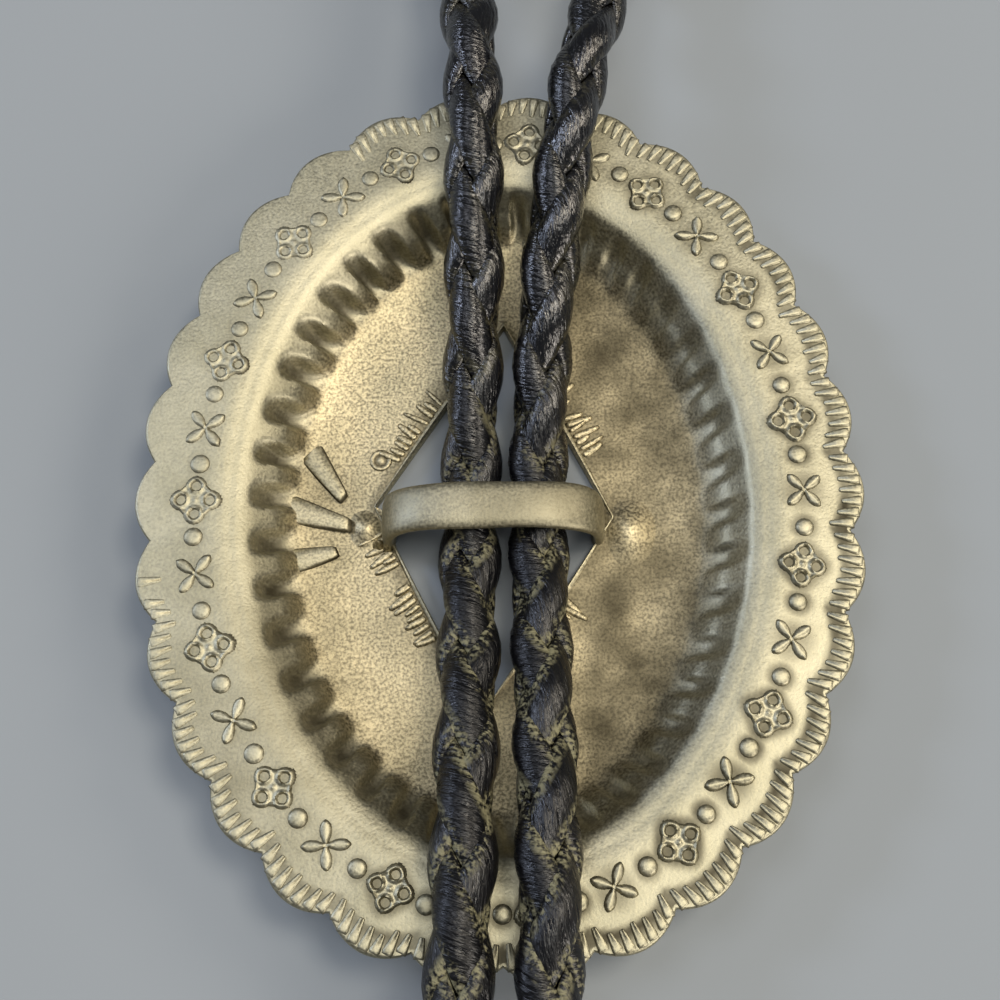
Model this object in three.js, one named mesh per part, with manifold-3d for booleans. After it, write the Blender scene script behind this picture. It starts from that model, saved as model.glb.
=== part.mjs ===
// Bolo tie lying face down: a stamped oval concho with a soldered bridge, and one braided
// leather cord that passes under the bridge, lies on the surface as a neck loop and ends in two tips.
// Millimetres, +Z up, +Y from the concho towards the neck loop.
import * as THREE from 'three';
import { mergeVertices } from 'three/addons/utils/BufferGeometryUtils.js';
import Module from 'manifold-3d';

const wasm = await Module();
wasm.setup();

// Driving dimensions

// Gap between pieces that touch on the real object.
const clearance = 0.3;

// Concho sheet, seen from its back: a flat rim round a bowl with a fluted wall.
const plate = {
  halfWidth: 29,
  halfHeight: 36.8,
  sheet: 0.9,
  rimBand: 7.6,
  bowlDepth: 5.2,
  wallRun: 4.2,
  wallThickening: 0.35,
  floorRun: 5.2,
  floorRise: 0.6,
  scallops: 30,
  scallopDepth: 1.25,
  flutes: 42,
  fluteSlant: -0.3,
  stepsPerScallop: 7,
};

// How far the bowl's wall has dropped, as a share of the bowl's depth, at shares of the wall's run.
// A ridge is a tongue that reaches into the bowl, and a recess is the hollow between two tongues.
const wallRows = [
  { run: 0.0, ridge: 0.0, recess: 0.05 },
  { run: 0.22, ridge: 0.12, recess: 0.3 },
  { run: 0.5, ridge: 0.34, recess: 0.84 },
  { run: 0.78, ridge: 0.62, recess: 0.97 },
  { run: 1.0, ridge: 1.0, recess: 1.0 },
];

// Stamps that stand proud of the back of the rim, in a ring: flower, dot, cross, dot and so on.
const stamps = {
  margin: 4.9,
  relief: 0.3,
  dotRadius: 0.65,
  dotSides: 6,
  crossSpan: 3.3,
  crossArm: 0.62,
  flowerSide: 2.9,
  flowerCorner: 0.5,
  flowerEye: 0.46,
  flowerEyeSides: 5,
};

// Diamond cut out of the bowl's floor.
const diamond = { halfWidth: 9.8, halfHeight: 16.8, x: -0.5, y: 0.2, turnDegrees: -3.6 };

// Braided cord: its outer diameter, and where it passes under the bridge.
const cord = { diameter: 5.2, bridgeLift: 0.045, sides: 10, steps: 70 };

// Bridge strap, bent like a staple whose feet turn outwards over the corners of the diamond.
const bridge = {
  width: 3.8,
  thickness: 1.15,
  halfSpan: 7.7,
  squareness: 4.2,
  play: 0.45,
  x: -0.35,
  y: -0.3,
  edgeRound: 0.35,
  archSteps: 16,
  footReach: 11.2,
  footHeight: 0.9,
};

// Mound of solder over each foot: where its middle lies beyond the strap's leg, and its half sizes.
const solder = {
  left: { outset: 1.9, y: -0.2, halfX: 2.0, halfY: 2.3, height: 1.7 },
  right: { outset: 2.5, y: -1.2, halfX: 2.1, halfY: 3.0, height: 2.2 },
};

// Metal tip on each end of the cord.
const tip = { length: 45, wall: 0.55, socket: 9, endRadius: 1.5, rollRadius: 0.35, sides: 16 };

// Derived sizes

const rimTop = plate.sheet + plate.bowlDepth;
const cordRadius = cord.diameter / 2;
const steps = plate.scallops * plate.stepsPerScallop;
const cordRise = rimTop + clearance;
const tipRest = (clearance + tip.wall + tip.rollRadius) / cordRise;

// The route of the braid. Each row holds x in mm, y and the lift.
// Along the concho, y is a share of its half height. Beyond its ends, y is mm from its edge.
// Lift 0 lies on the surface, and lift 1 just clears the rim.
const tailRoute = {
  left: [
    { x: -4.3, beyond: -31, lift: tipRest },
    { x: -4.3, beyond: -25, lift: tipRest },
    { x: -4.3, beyond: -19, lift: tipRest },
    { x: -4.0, beyond: -13, lift: 0.42 },
    { x: -3.6, beyond: -7, lift: 0.8 },
  ],
  right: [
    { x: 4.4, beyond: -31, lift: tipRest },
    { x: 4.4, beyond: -25, lift: tipRest },
    { x: 4.4, beyond: -19, lift: tipRest },
    { x: 4.1, beyond: -13, lift: 0.42 },
    { x: 3.7, beyond: -7, lift: 0.8 },
  ],
};
const conchoRoute = {
  left: [
    { x: -3.1, along: -1.03, lift: 1.08 },
    { x: -2.8, along: -0.84, lift: 1.08 },
    { x: -2.5, along: -0.5, lift: 0.66 },
    { x: -2.4, along: -0.22, lift: 0.2 },
    { x: -2.3, along: 0.0, lift: 0.045 },
    { x: -2.1, along: 0.22, lift: 0.2 },
    { x: -1.8, along: 0.5, lift: 0.66 },
    { x: -1.7, along: 0.84, lift: 1.08 },
    { x: -1.8, along: 1.03, lift: 1.1 },
  ],
  right: [
    { x: 3.3, along: -1.03, lift: 1.08 },
    { x: 3.4, along: -0.84, lift: 1.08 },
    { x: 3.3, along: -0.5, lift: 0.66 },
    { x: 3.2, along: -0.22, lift: 0.2 },
    { x: 3.2, along: 0.0, lift: 0.045 },
    { x: 3.5, along: 0.22, lift: 0.2 },
    { x: 4.4, along: 0.5, lift: 0.66 },
    { x: 6.3, along: 0.84, lift: 1.08 },
    { x: 7.7, along: 1.03, lift: 1.1 },
  ],
};
const neckRoute = {
  left: [
    { x: -2.3, beyond: 9, lift: 0.82 },
    { x: -3.4, beyond: 20, lift: 0.42 },
    { x: -5.8, beyond: 32, lift: 0.14 },
    { x: -10, beyond: 46, lift: 0.02 },
    { x: -20, beyond: 70, lift: 0 },
    { x: -36, beyond: 101, lift: 0 },
    { x: -52, beyond: 137, lift: 0 },
    { x: -65, beyond: 177, lift: 0 },
    { x: -71, beyond: 219, lift: 0 },
    { x: -66, beyond: 260, lift: 0 },
    { x: -47, beyond: 294, lift: 0 },
    { x: -16, beyond: 313, lift: 0 },
  ],
  right: [
    { x: 9.8, beyond: 9, lift: 0.82 },
    { x: 12.6, beyond: 20, lift: 0.42 },
    { x: 16.2, beyond: 32, lift: 0.14 },
    { x: 21.5, beyond: 46, lift: 0.02 },
    { x: 33, beyond: 70, lift: 0 },
    { x: 50, beyond: 101, lift: 0 },
    { x: 67, beyond: 137, lift: 0 },
    { x: 81, beyond: 177, lift: 0 },
    { x: 87, beyond: 219, lift: 0 },
    { x: 83, beyond: 260, lift: 0 },
    { x: 65, beyond: 294, lift: 0 },
    { x: 35, beyond: 313, lift: 0 },
  ],
};
const napePoint = { x: 10, beyond: 318, lift: 0 };

// Materials

const tarnishedSilver = new THREE.MeshStandardMaterial({ color: 0xa8a283, roughness: 0.42, metalness: 1 });
const blackLeather = new THREE.MeshStandardMaterial({ color: 0x17161a, roughness: 0.5, metalness: 0 });
const platedTip = new THREE.MeshStandardMaterial({ color: 0xb9b6a8, roughness: 0.3, metalness: 1 });

// Solids

function toSolid(geometry) {
  const bare = geometry.clone();
  bare.deleteAttribute('normal');
  bare.deleteAttribute('uv');
  const merged = mergeVertices(bare, 1e-4);
  const mesh = new wasm.Mesh({
    numProp: 3,
    vertProperties: new Float32Array(merged.attributes.position.array),
    triVerts: new Uint32Array(merged.index.array),
  });
  return new wasm.Manifold(mesh);
}

function toGeometry(solid) {
  const mesh = solid.getMesh();
  const geometry = new THREE.BufferGeometry();
  geometry.setAttribute('position', new THREE.BufferAttribute(new Float32Array(mesh.vertProperties), 3));
  geometry.setIndex(new THREE.BufferAttribute(new Uint32Array(mesh.triVerts), 1));
  geometry.computeVertexNormals();
  return geometry;
}

function meshOf(name, geometry, material) {
  const mesh = new THREE.Mesh(geometry, material);
  mesh.name = name;
  return mesh;
}

// Concho

// The stamps and scallops are spaced evenly along the ring of stamps.
const stampRing = new THREE.EllipseCurve(
  0, 0,
  plate.halfWidth - stamps.margin, plate.halfHeight - stamps.margin,
  Math.PI / 2, -1.5 * Math.PI, true,
);
stampRing.arcLengthDivisions = 1200;

// Ellipse angle, clockwise from +Y, at a share of the way round the ring of stamps.
function turnAt(share) {
  return 2 * Math.PI * stampRing.getUtoTmapping(share);
}

// Point at a margin inside the oval that touches the tops of the scallops.
function ovalPoint(turn, margin, z) {
  const outward = new THREE.Vector2(plate.halfHeight * Math.sin(turn), plate.halfWidth * Math.cos(turn));
  outward.normalize();
  return new THREE.Vector3(
    plate.halfWidth * Math.sin(turn) - margin * outward.x,
    plate.halfHeight * Math.cos(turn) - margin * outward.y,
    z,
  );
}

// A scallop is a round lobe, and two lobes meet in a notch.
function scallopMargin(share) {
  const acrossLobe = 2 * ((share * plate.scallops) % 1) - 1;
  return plate.scallopDepth * acrossLobe ** 2;
}

// 1 on the crest of a tongue, 0 in the middle of a recess.
function ridgeShare(share, run) {
  const wave = plate.flutes * share + plate.fluteSlant * run;
  return 0.5 + 0.5 * Math.cos(2 * Math.PI * wave);
}

function ring(margin, height) {
  return Array.from({ length: steps }, (_, step) => {
    const share = step / steps;
    return ovalPoint(turnAt(share), margin(share), height(share));
  });
}

// The rings of one face, from the flat land in the middle of the bowl out to the edge.
// The back face is lifted by the sheet's thickness, and a little more on the steep wall.
function faceRings(thickness) {
  const landMargin = plate.rimBand + plate.wallRun + plate.floorRun;
  const rings = [ring(() => landMargin, () => thickness)];
  for (const row of [...wallRows].reverse()) {
    const margin = plate.rimBand + plate.wallRun * row.run;
    const steepness = Math.sin(Math.PI * row.run);
    const thickening = thickness * plate.wallThickening * steepness;
    const fall = plate.bowlDepth - plate.floorRise;
    rings.push(ring(() => margin, (share) => {
      const drop = THREE.MathUtils.lerp(row.recess, row.ridge, ridgeShare(share, row.run));
      return plate.bowlDepth - fall * drop + thickness + thickening;
    }));
  }
  rings.push(ring(scallopMargin, () => plate.bowlDepth + thickness));
  return rings;
}

function sheetSolid() {
  const rings = [...faceRings(plate.sheet), ...faceRings(0).reverse()];
  const backPole = new THREE.Vector3(0, 0, plate.sheet);
  const frontPole = new THREE.Vector3(0, 0, 0);
  const points = [backPole, ...rings.flat(), frontPole];
  const at = (row, step) => 1 + row * steps + (step % steps);
  const index = [];
  for (let step = 0; step < steps; step += 1) {
    index.push(0, at(0, step + 1), at(0, step));
    for (let row = 0; row < rings.length - 1; row += 1) {
      index.push(at(row, step), at(row, step + 1), at(row + 1, step));
      index.push(at(row, step + 1), at(row + 1, step + 1), at(row + 1, step));
    }
    index.push(at(rings.length - 1, step), at(rings.length - 1, step + 1), points.length - 1);
  }
  const geometry = new THREE.BufferGeometry().setFromPoints(points);
  geometry.setIndex(index);
  return toSolid(geometry);
}

function polygon(points) {
  return new THREE.Shape(points.map(([x, y]) => new THREE.Vector2(x, y)));
}

function diamondCut() {
  const { halfWidth, halfHeight } = diamond;
  const outline = polygon([[halfWidth, 0], [0, halfHeight], [-halfWidth, 0], [0, -halfHeight]]);
  const cut = new THREE.ExtrudeGeometry(outline, { depth: 3 * plate.sheet, bevelEnabled: false });
  cut.translate(0, 0, -plate.sheet);
  cut.rotateZ(THREE.MathUtils.degToRad(diamond.turnDegrees));
  cut.translate(diamond.x, diamond.y, 0);
  return toSolid(cut);
}

// A stamp is drawn round its own middle, with +Y pointing out of the concho,
// and is sunk into the sheet by half its thickness so that it joins.
function placeStamp(geometry, share) {
  const turn = turnAt(share);
  const middle = ovalPoint(turn, stamps.margin, rimTop - plate.sheet / 2);
  const outward = ovalPoint(turn, 0, 0).sub(ovalPoint(turn, 1, 0));
  geometry.rotateZ(Math.atan2(outward.y, outward.x) - Math.PI / 2);
  geometry.translate(middle.x, middle.y, middle.z);
  return toSolid(geometry);
}

function raised(shape) {
  const depth = plate.sheet / 2 + stamps.relief;
  return new THREE.ExtrudeGeometry(shape, { depth, bevelEnabled: false, curveSegments: 1 });
}

function dotStamp() {
  const base = plate.sheet / 2;
  const profile = [
    new THREE.Vector2(0, 0),
    new THREE.Vector2(stamps.dotRadius, 0),
    new THREE.Vector2(stamps.dotRadius, base),
    new THREE.Vector2(stamps.dotRadius * 0.6, base + stamps.relief),
    new THREE.Vector2(0, base + stamps.relief),
  ];
  return new THREE.LatheGeometry(profile, stamps.dotSides).rotateX(Math.PI / 2);
}

function crossStamp() {
  const reach = stamps.crossSpan / 2;
  const waist = stamps.crossArm / 2;
  const points = [];
  for (let arm = 0; arm < 4; arm += 1) {
    const along = Math.PI / 4 + (arm * Math.PI) / 2;
    const between = along + Math.PI / 4;
    points.push([reach * Math.cos(along), reach * Math.sin(along)]);
    points.push([waist * Math.cos(between), waist * Math.sin(between)]);
  }
  return raised(polygon(points));
}

// A square with cut corners, standing on one corner, with a round eye in each corner.
function flowerStamp() {
  const half = stamps.flowerSide / 2;
  const cut = half - stamps.flowerCorner;
  const corners = [[half, cut], [cut, half], [-cut, half], [-half, cut]];
  const outline = polygon([...corners, ...corners.map(([x, y]) => [-x, -y])]);
  const eyeAt = half / 2;
  for (const [sideX, sideY] of [[1, 1], [-1, 1], [-1, -1], [1, -1]]) {
    const eye = new THREE.Path();
    for (let side = 0; side <= stamps.flowerEyeSides; side += 1) {
      const angle = (-2 * Math.PI * side) / stamps.flowerEyeSides;
      const x = sideX * eyeAt + stamps.flowerEye * Math.cos(angle);
      const y = sideY * eyeAt + stamps.flowerEye * Math.sin(angle);
      if (side === 0) eye.moveTo(x, y);
      else eye.lineTo(x, y);
    }
    outline.holes.push(eye);
  }
  return raised(outline).rotateZ(Math.PI / 4);
}

function stampSolids() {
  const solids = [];
  for (let lobe = 0; lobe < plate.scallops; lobe += 1) {
    const motif = lobe % 2 === 0 ? flowerStamp() : crossStamp();
    solids.push(placeStamp(motif, (lobe + 0.5) / plate.scallops));
    solids.push(placeStamp(dotStamp(), lobe / plate.scallops));
  }
  return solids;
}

// The strap's arch is a squared ellipse over the two legs of the cord.
function archPoint(angle, halfSpan, rise) {
  const power = 2 / bridge.squareness;
  const across = Math.sign(Math.cos(angle)) * Math.abs(Math.cos(angle)) ** power;
  return [halfSpan * across, rise * Math.abs(Math.sin(angle)) ** power];
}

function bridgeSolid() {
  const floorTop = plate.sheet;
  const root = floorTop / 2;
  const inside = cordRise * cord.bridgeLift + cord.diameter + bridge.play - root;
  const outside = inside + bridge.thickness;
  const outer = [];
  const inner = [];
  for (let step = 0; step <= bridge.archSteps; step += 1) {
    const angle = (Math.PI * step) / bridge.archSteps;
    outer.push(archPoint(angle, bridge.halfSpan + bridge.thickness / 2, outside));
    inner.push(archPoint(angle, bridge.halfSpan - bridge.thickness / 2, inside));
  }
  const outline = polygon([...outer, ...inner.reverse()]);
  const strap = new THREE.ExtrudeGeometry(outline, {
    depth: bridge.width - 2 * bridge.edgeRound,
    bevelEnabled: true,
    bevelThickness: bridge.edgeRound,
    bevelSize: bridge.edgeRound,
    bevelOffset: -bridge.edgeRound,
    bevelSegments: 1,
  });
  strap.rotateX(Math.PI / 2);
  strap.translate(bridge.x, bridge.y + bridge.width / 2 - bridge.edgeRound, root);
  return toSolid(strap);
}

function footSolid(side) {
  const inner = bridge.halfSpan - bridge.thickness / 2;
  const sunk = plate.sheet / 2;
  const width = bridge.width - 2 * bridge.edgeRound;
  const foot = new THREE.BoxGeometry(bridge.footReach - inner, width, bridge.footHeight + sunk);
  const middleX = (bridge.footReach + inner) / 2;
  const middleZ = plate.sheet + (bridge.footHeight - sunk) / 2;
  foot.translate(bridge.x + side * middleX, bridge.y, middleZ);
  return toSolid(foot);
}

function solderSolid(side, mound) {
  const dome = new THREE.SphereGeometry(1, 12, 8);
  dome.rotateX(Math.PI / 2);
  dome.scale(mound.halfX, mound.halfY, mound.height);
  dome.translate(bridge.x + side * (bridge.halfSpan + mound.outset), bridge.y + mound.y, plate.sheet);
  return toSolid(dome);
}

function conchoGeometry() {
  const parts = [sheetSolid(), ...stampSolids()];
  const stamped = wasm.Manifold.union(parts);
  const pierced = stamped.subtract(diamondCut());
  const joined = wasm.Manifold.union([
    pierced,
    bridgeSolid(),
    footSolid(-1),
    footSolid(1),
    solderSolid(-1, solder.left),
    solderSolid(1, solder.right),
  ]);
  const surface = joined.trimByPlane([0, 0, 1], 0);
  return toGeometry(surface);
}

// Braided cord

function routePoint(row) {
  const far = Math.sign(row.beyond ?? 1);
  const y = row.along === undefined ? far * plate.halfHeight + row.beyond : row.along * plate.halfHeight;
  return new THREE.Vector3(row.x, y, cordRadius + row.lift * cordRise);
}

function legPoints(side) {
  const rows = [...tailRoute[side], ...conchoRoute[side], ...neckRoute[side]];
  return rows.map(routePoint);
}

const cordRoute = new THREE.CatmullRomCurve3([
  ...legPoints('left'),
  routePoint(napePoint),
  ...legPoints('right').reverse(),
], false, 'centripetal');
cordRoute.arcLengthDivisions = 4000;

// A stretch of the whole route, between two shares of its length.
class Stretch extends THREE.Curve {
  constructor(whole, from, to) {
    super();
    this.whole = whole;
    this.from = from;
    this.to = to;
  }

  getPoint(share, target) {
    return this.whole.getPointAt(THREE.MathUtils.lerp(this.from, this.to, share), target);
  }
}

function cordGeometry(from, to) {
  const section = new THREE.Shape();
  for (let side = 0; side < cord.sides; side += 1) {
    const angle = (2 * Math.PI * (side + 0.5)) / cord.sides;
    const x = cordRadius * Math.cos(angle);
    const y = cordRadius * Math.sin(angle);
    if (side === 0) section.moveTo(x, y);
    else section.lineTo(x, y);
  }
  section.closePath();
  return new THREE.ExtrudeGeometry(section, {
    steps: cord.steps,
    extrudePath: new Stretch(cordRoute, from, to),
    bevelEnabled: false,
  });
}

// Tips

function tipMesh(name, end, inward) {
  const bore = cordRadius + clearance;
  const mouth = bore + tip.wall;
  const floor = tip.length - tip.socket;
  const profile = [
    new THREE.Vector2(0, 0),
    new THREE.Vector2(tip.endRadius * 0.6, tip.endRadius * 0.2),
    new THREE.Vector2(tip.endRadius, tip.endRadius),
    new THREE.Vector2(mouth, floor),
    new THREE.Vector2(mouth, tip.length - 2 * tip.rollRadius),
    new THREE.Vector2(mouth + tip.rollRadius, tip.length - tip.rollRadius),
    new THREE.Vector2(mouth, tip.length),
    new THREE.Vector2(bore, tip.length),
    new THREE.Vector2(bore, floor),
    new THREE.Vector2(0, floor),
  ];
  const mesh = meshOf(name, new THREE.LatheGeometry(profile, tip.sides), platedTip);
  const reach = floor + clearance;
  mesh.quaternion.setFromUnitVectors(new THREE.Vector3(0, 1, 0), inward);
  mesh.position.copy(end).addScaledVector(inward, -reach);
  return mesh;
}

const halfGap = clearance / (2 * cordRoute.getLength());
const assembly = new THREE.Group();
assembly.add(meshOf('concho_slide', conchoGeometry(), tarnishedSilver));
assembly.add(meshOf('cord_left', cordGeometry(0, 0.5 - halfGap), blackLeather));
assembly.add(meshOf('cord_right', cordGeometry(0.5 + halfGap, 1), blackLeather));
assembly.add(tipMesh('tip_left', cordRoute.getPointAt(0), cordRoute.getTangentAt(0)));
assembly.add(tipMesh('tip_right', cordRoute.getPointAt(1), cordRoute.getTangentAt(1).negate()));

// The origin is the middle of the whole tie's footprint, on the surface it lies on.
const bounds = new THREE.Box3().setFromObject(assembly, true);
const middle = bounds.getCenter(new THREE.Vector3());
assembly.position.set(-middle.x, -middle.y, -bounds.min.z);
assembly.updateMatrixWorld(true);

const model = new THREE.Group();
model.add(assembly);

export default model;
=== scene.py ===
"""Looks of a bolo tie that lies face down on a table.

The back of its stamped nickel silver concho faces up. Two legs of a braided leather cord
pass under the bridge that is soldered across it.
"""
import math

import bpy
import numpy as np
from mathutils import Matrix, Vector


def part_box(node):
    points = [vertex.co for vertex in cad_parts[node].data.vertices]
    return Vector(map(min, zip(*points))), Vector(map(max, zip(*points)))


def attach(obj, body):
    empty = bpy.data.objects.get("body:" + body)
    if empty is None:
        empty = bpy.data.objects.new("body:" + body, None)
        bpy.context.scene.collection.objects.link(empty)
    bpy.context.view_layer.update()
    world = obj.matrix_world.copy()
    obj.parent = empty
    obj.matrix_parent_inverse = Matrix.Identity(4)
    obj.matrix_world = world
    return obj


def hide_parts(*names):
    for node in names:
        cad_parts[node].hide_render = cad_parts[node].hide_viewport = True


MM = 0.001
TURN = 2 * math.pi

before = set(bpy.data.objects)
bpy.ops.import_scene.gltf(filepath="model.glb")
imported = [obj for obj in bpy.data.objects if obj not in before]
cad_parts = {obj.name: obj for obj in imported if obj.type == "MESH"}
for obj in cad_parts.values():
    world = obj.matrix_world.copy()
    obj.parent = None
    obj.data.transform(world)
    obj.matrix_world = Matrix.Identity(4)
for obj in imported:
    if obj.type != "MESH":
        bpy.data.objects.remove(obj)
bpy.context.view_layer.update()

# Where the concho's middle is, in mm, on the surface that the tie lies on.
low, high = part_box("concho_slide")
CONCHO_AT = np.array([(low.x + high.x) / 2, (low.y + high.y) / 2, 0.0]) / MM

# The concho's sheet, in mm. Margins run inwards from the oval round its scallops.
HALF_WIDTH = 29.0
HALF_HEIGHT = 36.8
SHEET = 0.9
BOWL_DEPTH = 5.2
RIM_BAND = 7.6
WALL_RUN = 4.2
FLOOR_RUN = 5.2
FLOOR_RISE = 0.6
WALL_THICKENING = 0.35
SCALLOPS = 30
SCALLOP_DEPTH = 1.25
FLUTES = 42
FLUTE_SLANT = -0.3
STAMP_MARGIN = 4.9
RIM_TOP = SHEET + BOWL_DEPTH
FLOOR_FOOT = RIM_BAND + WALL_RUN
LAND_MARGIN = FLOOR_FOOT + FLOOR_RUN

# How far the bowl's wall has dropped at these shares of its run, on a tongue's crest and in the
# recess between two tongues.
WALL_RUNS = (-0.45, -0.2, 0.0, 0.2, 0.35, 0.5, 0.65, 0.8, 0.93, 1.16)
RIDGE_DROPS = (0.0, 0.012, 0.05, 0.13, 0.21, 0.3, 0.4, 0.52, 0.7, 1.0)
RECESS_DROPS = (0.0, 0.012, 0.05, 0.13, 0.24, 0.6, 0.9, 0.98, 1.0, 1.0)
# How wide the tongues are there: above 0 they are wider than the recesses, below 0 narrower.
TONGUE_WIDTHS = (0.9, 0.9, 0.9, 0.9, 0.9, 0.72, 0.63, 0.54, 0.38, 0.0)
TONGUE_FIRMNESS = 2.8

# How deep flutes and stamps are struck, and how dark flutes are, at these degrees clockwise from the top.
STRIKE_TURNS = (0, 45, 90, 135, 180, 225, 270, 315, 360)
FLUTE_STRIKE = (0.6, 0.3, 0.27, 0.3, 0.38, 0.65, 0.9, 1.05, 0.9)
FLUTE_TARNISH = (0.5, 0.2, 0.1, 0.3, 0.6, 0.85, 0.75, 0.65, 0.6)
STAMP_STRIKE = (0.5, 0.95, 1.1, 1.1, 1.0, 0.8, 0.55, 0.42, 0.5)
HATCH_STRIKE = (0.35, 0.95, 1.1, 1.1, 0.9, 0.65, 0.0, 0.0, 0.35)

# Diamond cut out of the bowl's floor.
DIAMOND_HALF = (9.8, 16.8)
DIAMOND_AT = (-0.5, 0.2)
DIAMOND_TURN = math.radians(-3.6)

# Stamps, in mm.
DOT_RADIUS = 0.66
CROSS_REACH = 1.85
PETAL_HALF_WIDTH = 0.46
FLOWER_HALF_SIDE = 1.44
EYE_AT = 0.78
EYE_RADIUS = 0.52
STAMP_RELIEF = 0.36
HALO_WIDTH = 0.75

# The bridge strap.
BRIDGE_AT = (-0.5, -0.9)
BRIDGE_HALF_SPAN = 8.6
BRIDGE_WIDTH = 3.8
BRIDGE_THICKNESS = 1.15
BRIDGE_SQUARENESS = 3.2
BRIDGE_PLAY = 0.45

# The braid.
CORD_DIAMETER = 5.2
CORD_RADIUS = CORD_DIAMETER / 2
CLEARANCE = 0.3
CORD_RISE = RIM_TOP + CLEARANCE
BRIDGE_LIFT = 0.045
BRIDGE_TOP = BRIDGE_LIFT * CORD_RISE + CORD_DIAMETER + BRIDGE_PLAY + BRIDGE_THICKNESS
BRAID = {
    "Pitch": 16.2,
    "Middle radius": 1.68,
    "Weave": 0.34,
    "Straightness": 0.2,
    "Lace half width": 1.62,
    "Lace half thickness": 0.6,
}
LACE_STEP = 0.72

# The metal tips.
TIP_LENGTH = 45.0
TIP_WALL = 0.55
TIP_SOCKET = 9.0
TIP_END_RADIUS = 1.5
TIP_ROLL = 0.35
TIP_REST = (CLEARANCE + TIP_WALL + TIP_ROLL) / CORD_RISE

# The cord's route: x in mm, y and the lift. Lift 0 lies on the surface, lift 1 clears the rim.
# On the concho, y is a share of its half height. Beyond its ends, y is mm from its edge.
TAIL_LEFT = (
    (-4.3, -31, TIP_REST), (-4.3, -25, TIP_REST), (-4.3, -19, TIP_REST),
    (-4.0, -13, 0.42), (-3.6, -7, 0.8),
)
TAIL_RIGHT = (
    (4.4, -31, TIP_REST), (4.4, -25, TIP_REST), (4.4, -19, TIP_REST),
    (4.1, -13, 0.42), (3.7, -7, 0.8),
)
CONCHO_LEFT = (
    (-3.1, -1.03, 1.08), (-2.8, -0.84, 1.08), (-2.5, -0.5, 0.66), (-2.4, -0.22, 0.2),
    (-2.3, 0.0, BRIDGE_LIFT), (-2.1, 0.22, 0.2), (-1.8, 0.5, 0.66), (-1.7, 0.84, 1.08),
    (-1.8, 1.03, 1.1),
)
CONCHO_RIGHT = (
    (3.3, -1.03, 1.08), (3.4, -0.84, 1.08), (3.3, -0.5, 0.66), (3.2, -0.22, 0.2),
    (3.2, 0.0, BRIDGE_LIFT), (3.5, 0.22, 0.2), (4.4, 0.5, 0.66), (6.3, 0.84, 1.08), (7.7, 1.03, 1.1),
)
NECK_LEFT = (
    (-2.3, 9, 0.82), (-3.4, 20, 0.42), (-5.8, 32, 0.14), (-10, 46, 0.02), (-20, 70, 0), (-36, 101, 0),
    (-52, 137, 0), (-65, 177, 0), (-71, 219, 0), (-66, 260, 0), (-47, 294, 0), (-16, 313, 0),
)
NECK_RIGHT = (
    (9.8, 9, 0.82), (12.6, 20, 0.42), (16.2, 32, 0.14), (21.5, 46, 0.02), (33, 70, 0), (50, 101, 0),
    (67, 137, 0), (81, 177, 0), (87, 219, 0), (83, 260, 0), (65, 294, 0), (35, 313, 0),
)
NAPE = (10, 318, 0)


# Small tools


def linear(text):
    """An sRGB hex colour as linear RGBA."""
    parts = [int(text[at:at + 2], 16) / 255 for at in (1, 3, 5)]
    return (*[c / 12.92 if c <= 0.04045 else ((c + 0.055) / 1.055) ** 2.4 for c in parts], 1.0)


def add(tree, kind, inputs=None, **settings):
    """Adds a node with its settings, values and links, and returns its outputs."""
    node = tree.nodes.new(kind)
    for name, value in settings.items():
        setattr(node, name, value)
    for socket, value in (inputs or {}).items():
        if isinstance(value, bpy.types.NodeSocket):
            tree.links.new(value, node.inputs[socket])
        else:
            node.inputs[socket].default_value = value
    return node.outputs


def step_up(value, start, end):
    """0 before start, 1 past end, and a smooth rise between them. End may be below start."""
    share = np.clip((value - start) / (end - start), 0, 1)
    return share * share * (3 - 2 * share)


def bump_at(value, middle, spread):
    return np.exp(-(((value - middle) / spread) ** 2))


def smooth_curve(at, xs, ys):
    """Cubic curve through a few chosen points, level at both ends."""
    xs, ys = np.asarray(xs, float), np.asarray(ys, float)
    slopes = np.gradient(ys, xs)
    slopes[0] = slopes[-1] = 0
    at = np.clip(at, xs[0], xs[-1])
    span = np.clip(np.searchsorted(xs, at) - 1, 0, len(xs) - 2)
    width = xs[span + 1] - xs[span]
    t = (at - xs[span]) / width
    start = (1 + 2 * t) * (1 - t) ** 2 * ys[span] + t * (1 - t) ** 2 * width * slopes[span]
    end = t * t * (3 - 2 * t) * ys[span + 1] + t * t * (t - 1) * width * slopes[span + 1]
    return start + end


def new_mesh(name, points, faces, **attributes):
    """A mesh from points in mm, with one value a point for each attribute."""
    mesh = bpy.data.meshes.new(name)
    mesh.from_pydata((np.asarray(points, float) * MM).tolist(), [], faces)
    for label, values in attributes.items():
        layer = mesh.attributes.new(label, "FLOAT", "POINT")
        layer.data.foreach_set("value", np.asarray(values, np.float32).ravel())
    mesh.update()
    return mesh


def new_object(name, mesh):
    piece = bpy.data.objects.new(name, mesh)
    bpy.context.scene.collection.objects.link(piece)
    return piece


def ring_faces(rows, steps, first=0, last_to_first=False, flipped=False):
    """Quads between rings of points that close round the piece. first is the first ring's first point."""
    faces = []
    for row in range(rows if last_to_first else rows - 1):
        below = first + row * steps
        above = first + ((row + 1) % rows) * steps
        for step in range(steps):
            after = (step + 1) % steps
            a, b, c, d = below + step, above + step, above + after, below + after
            faces.append((a, d, c, b) if flipped else (a, b, c, d))
    return faces


def smooth_by_angle(mesh, degrees):
    mesh.shade_smooth()
    mesh.set_sharp_from_angle(angle=math.radians(degrees))


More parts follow.
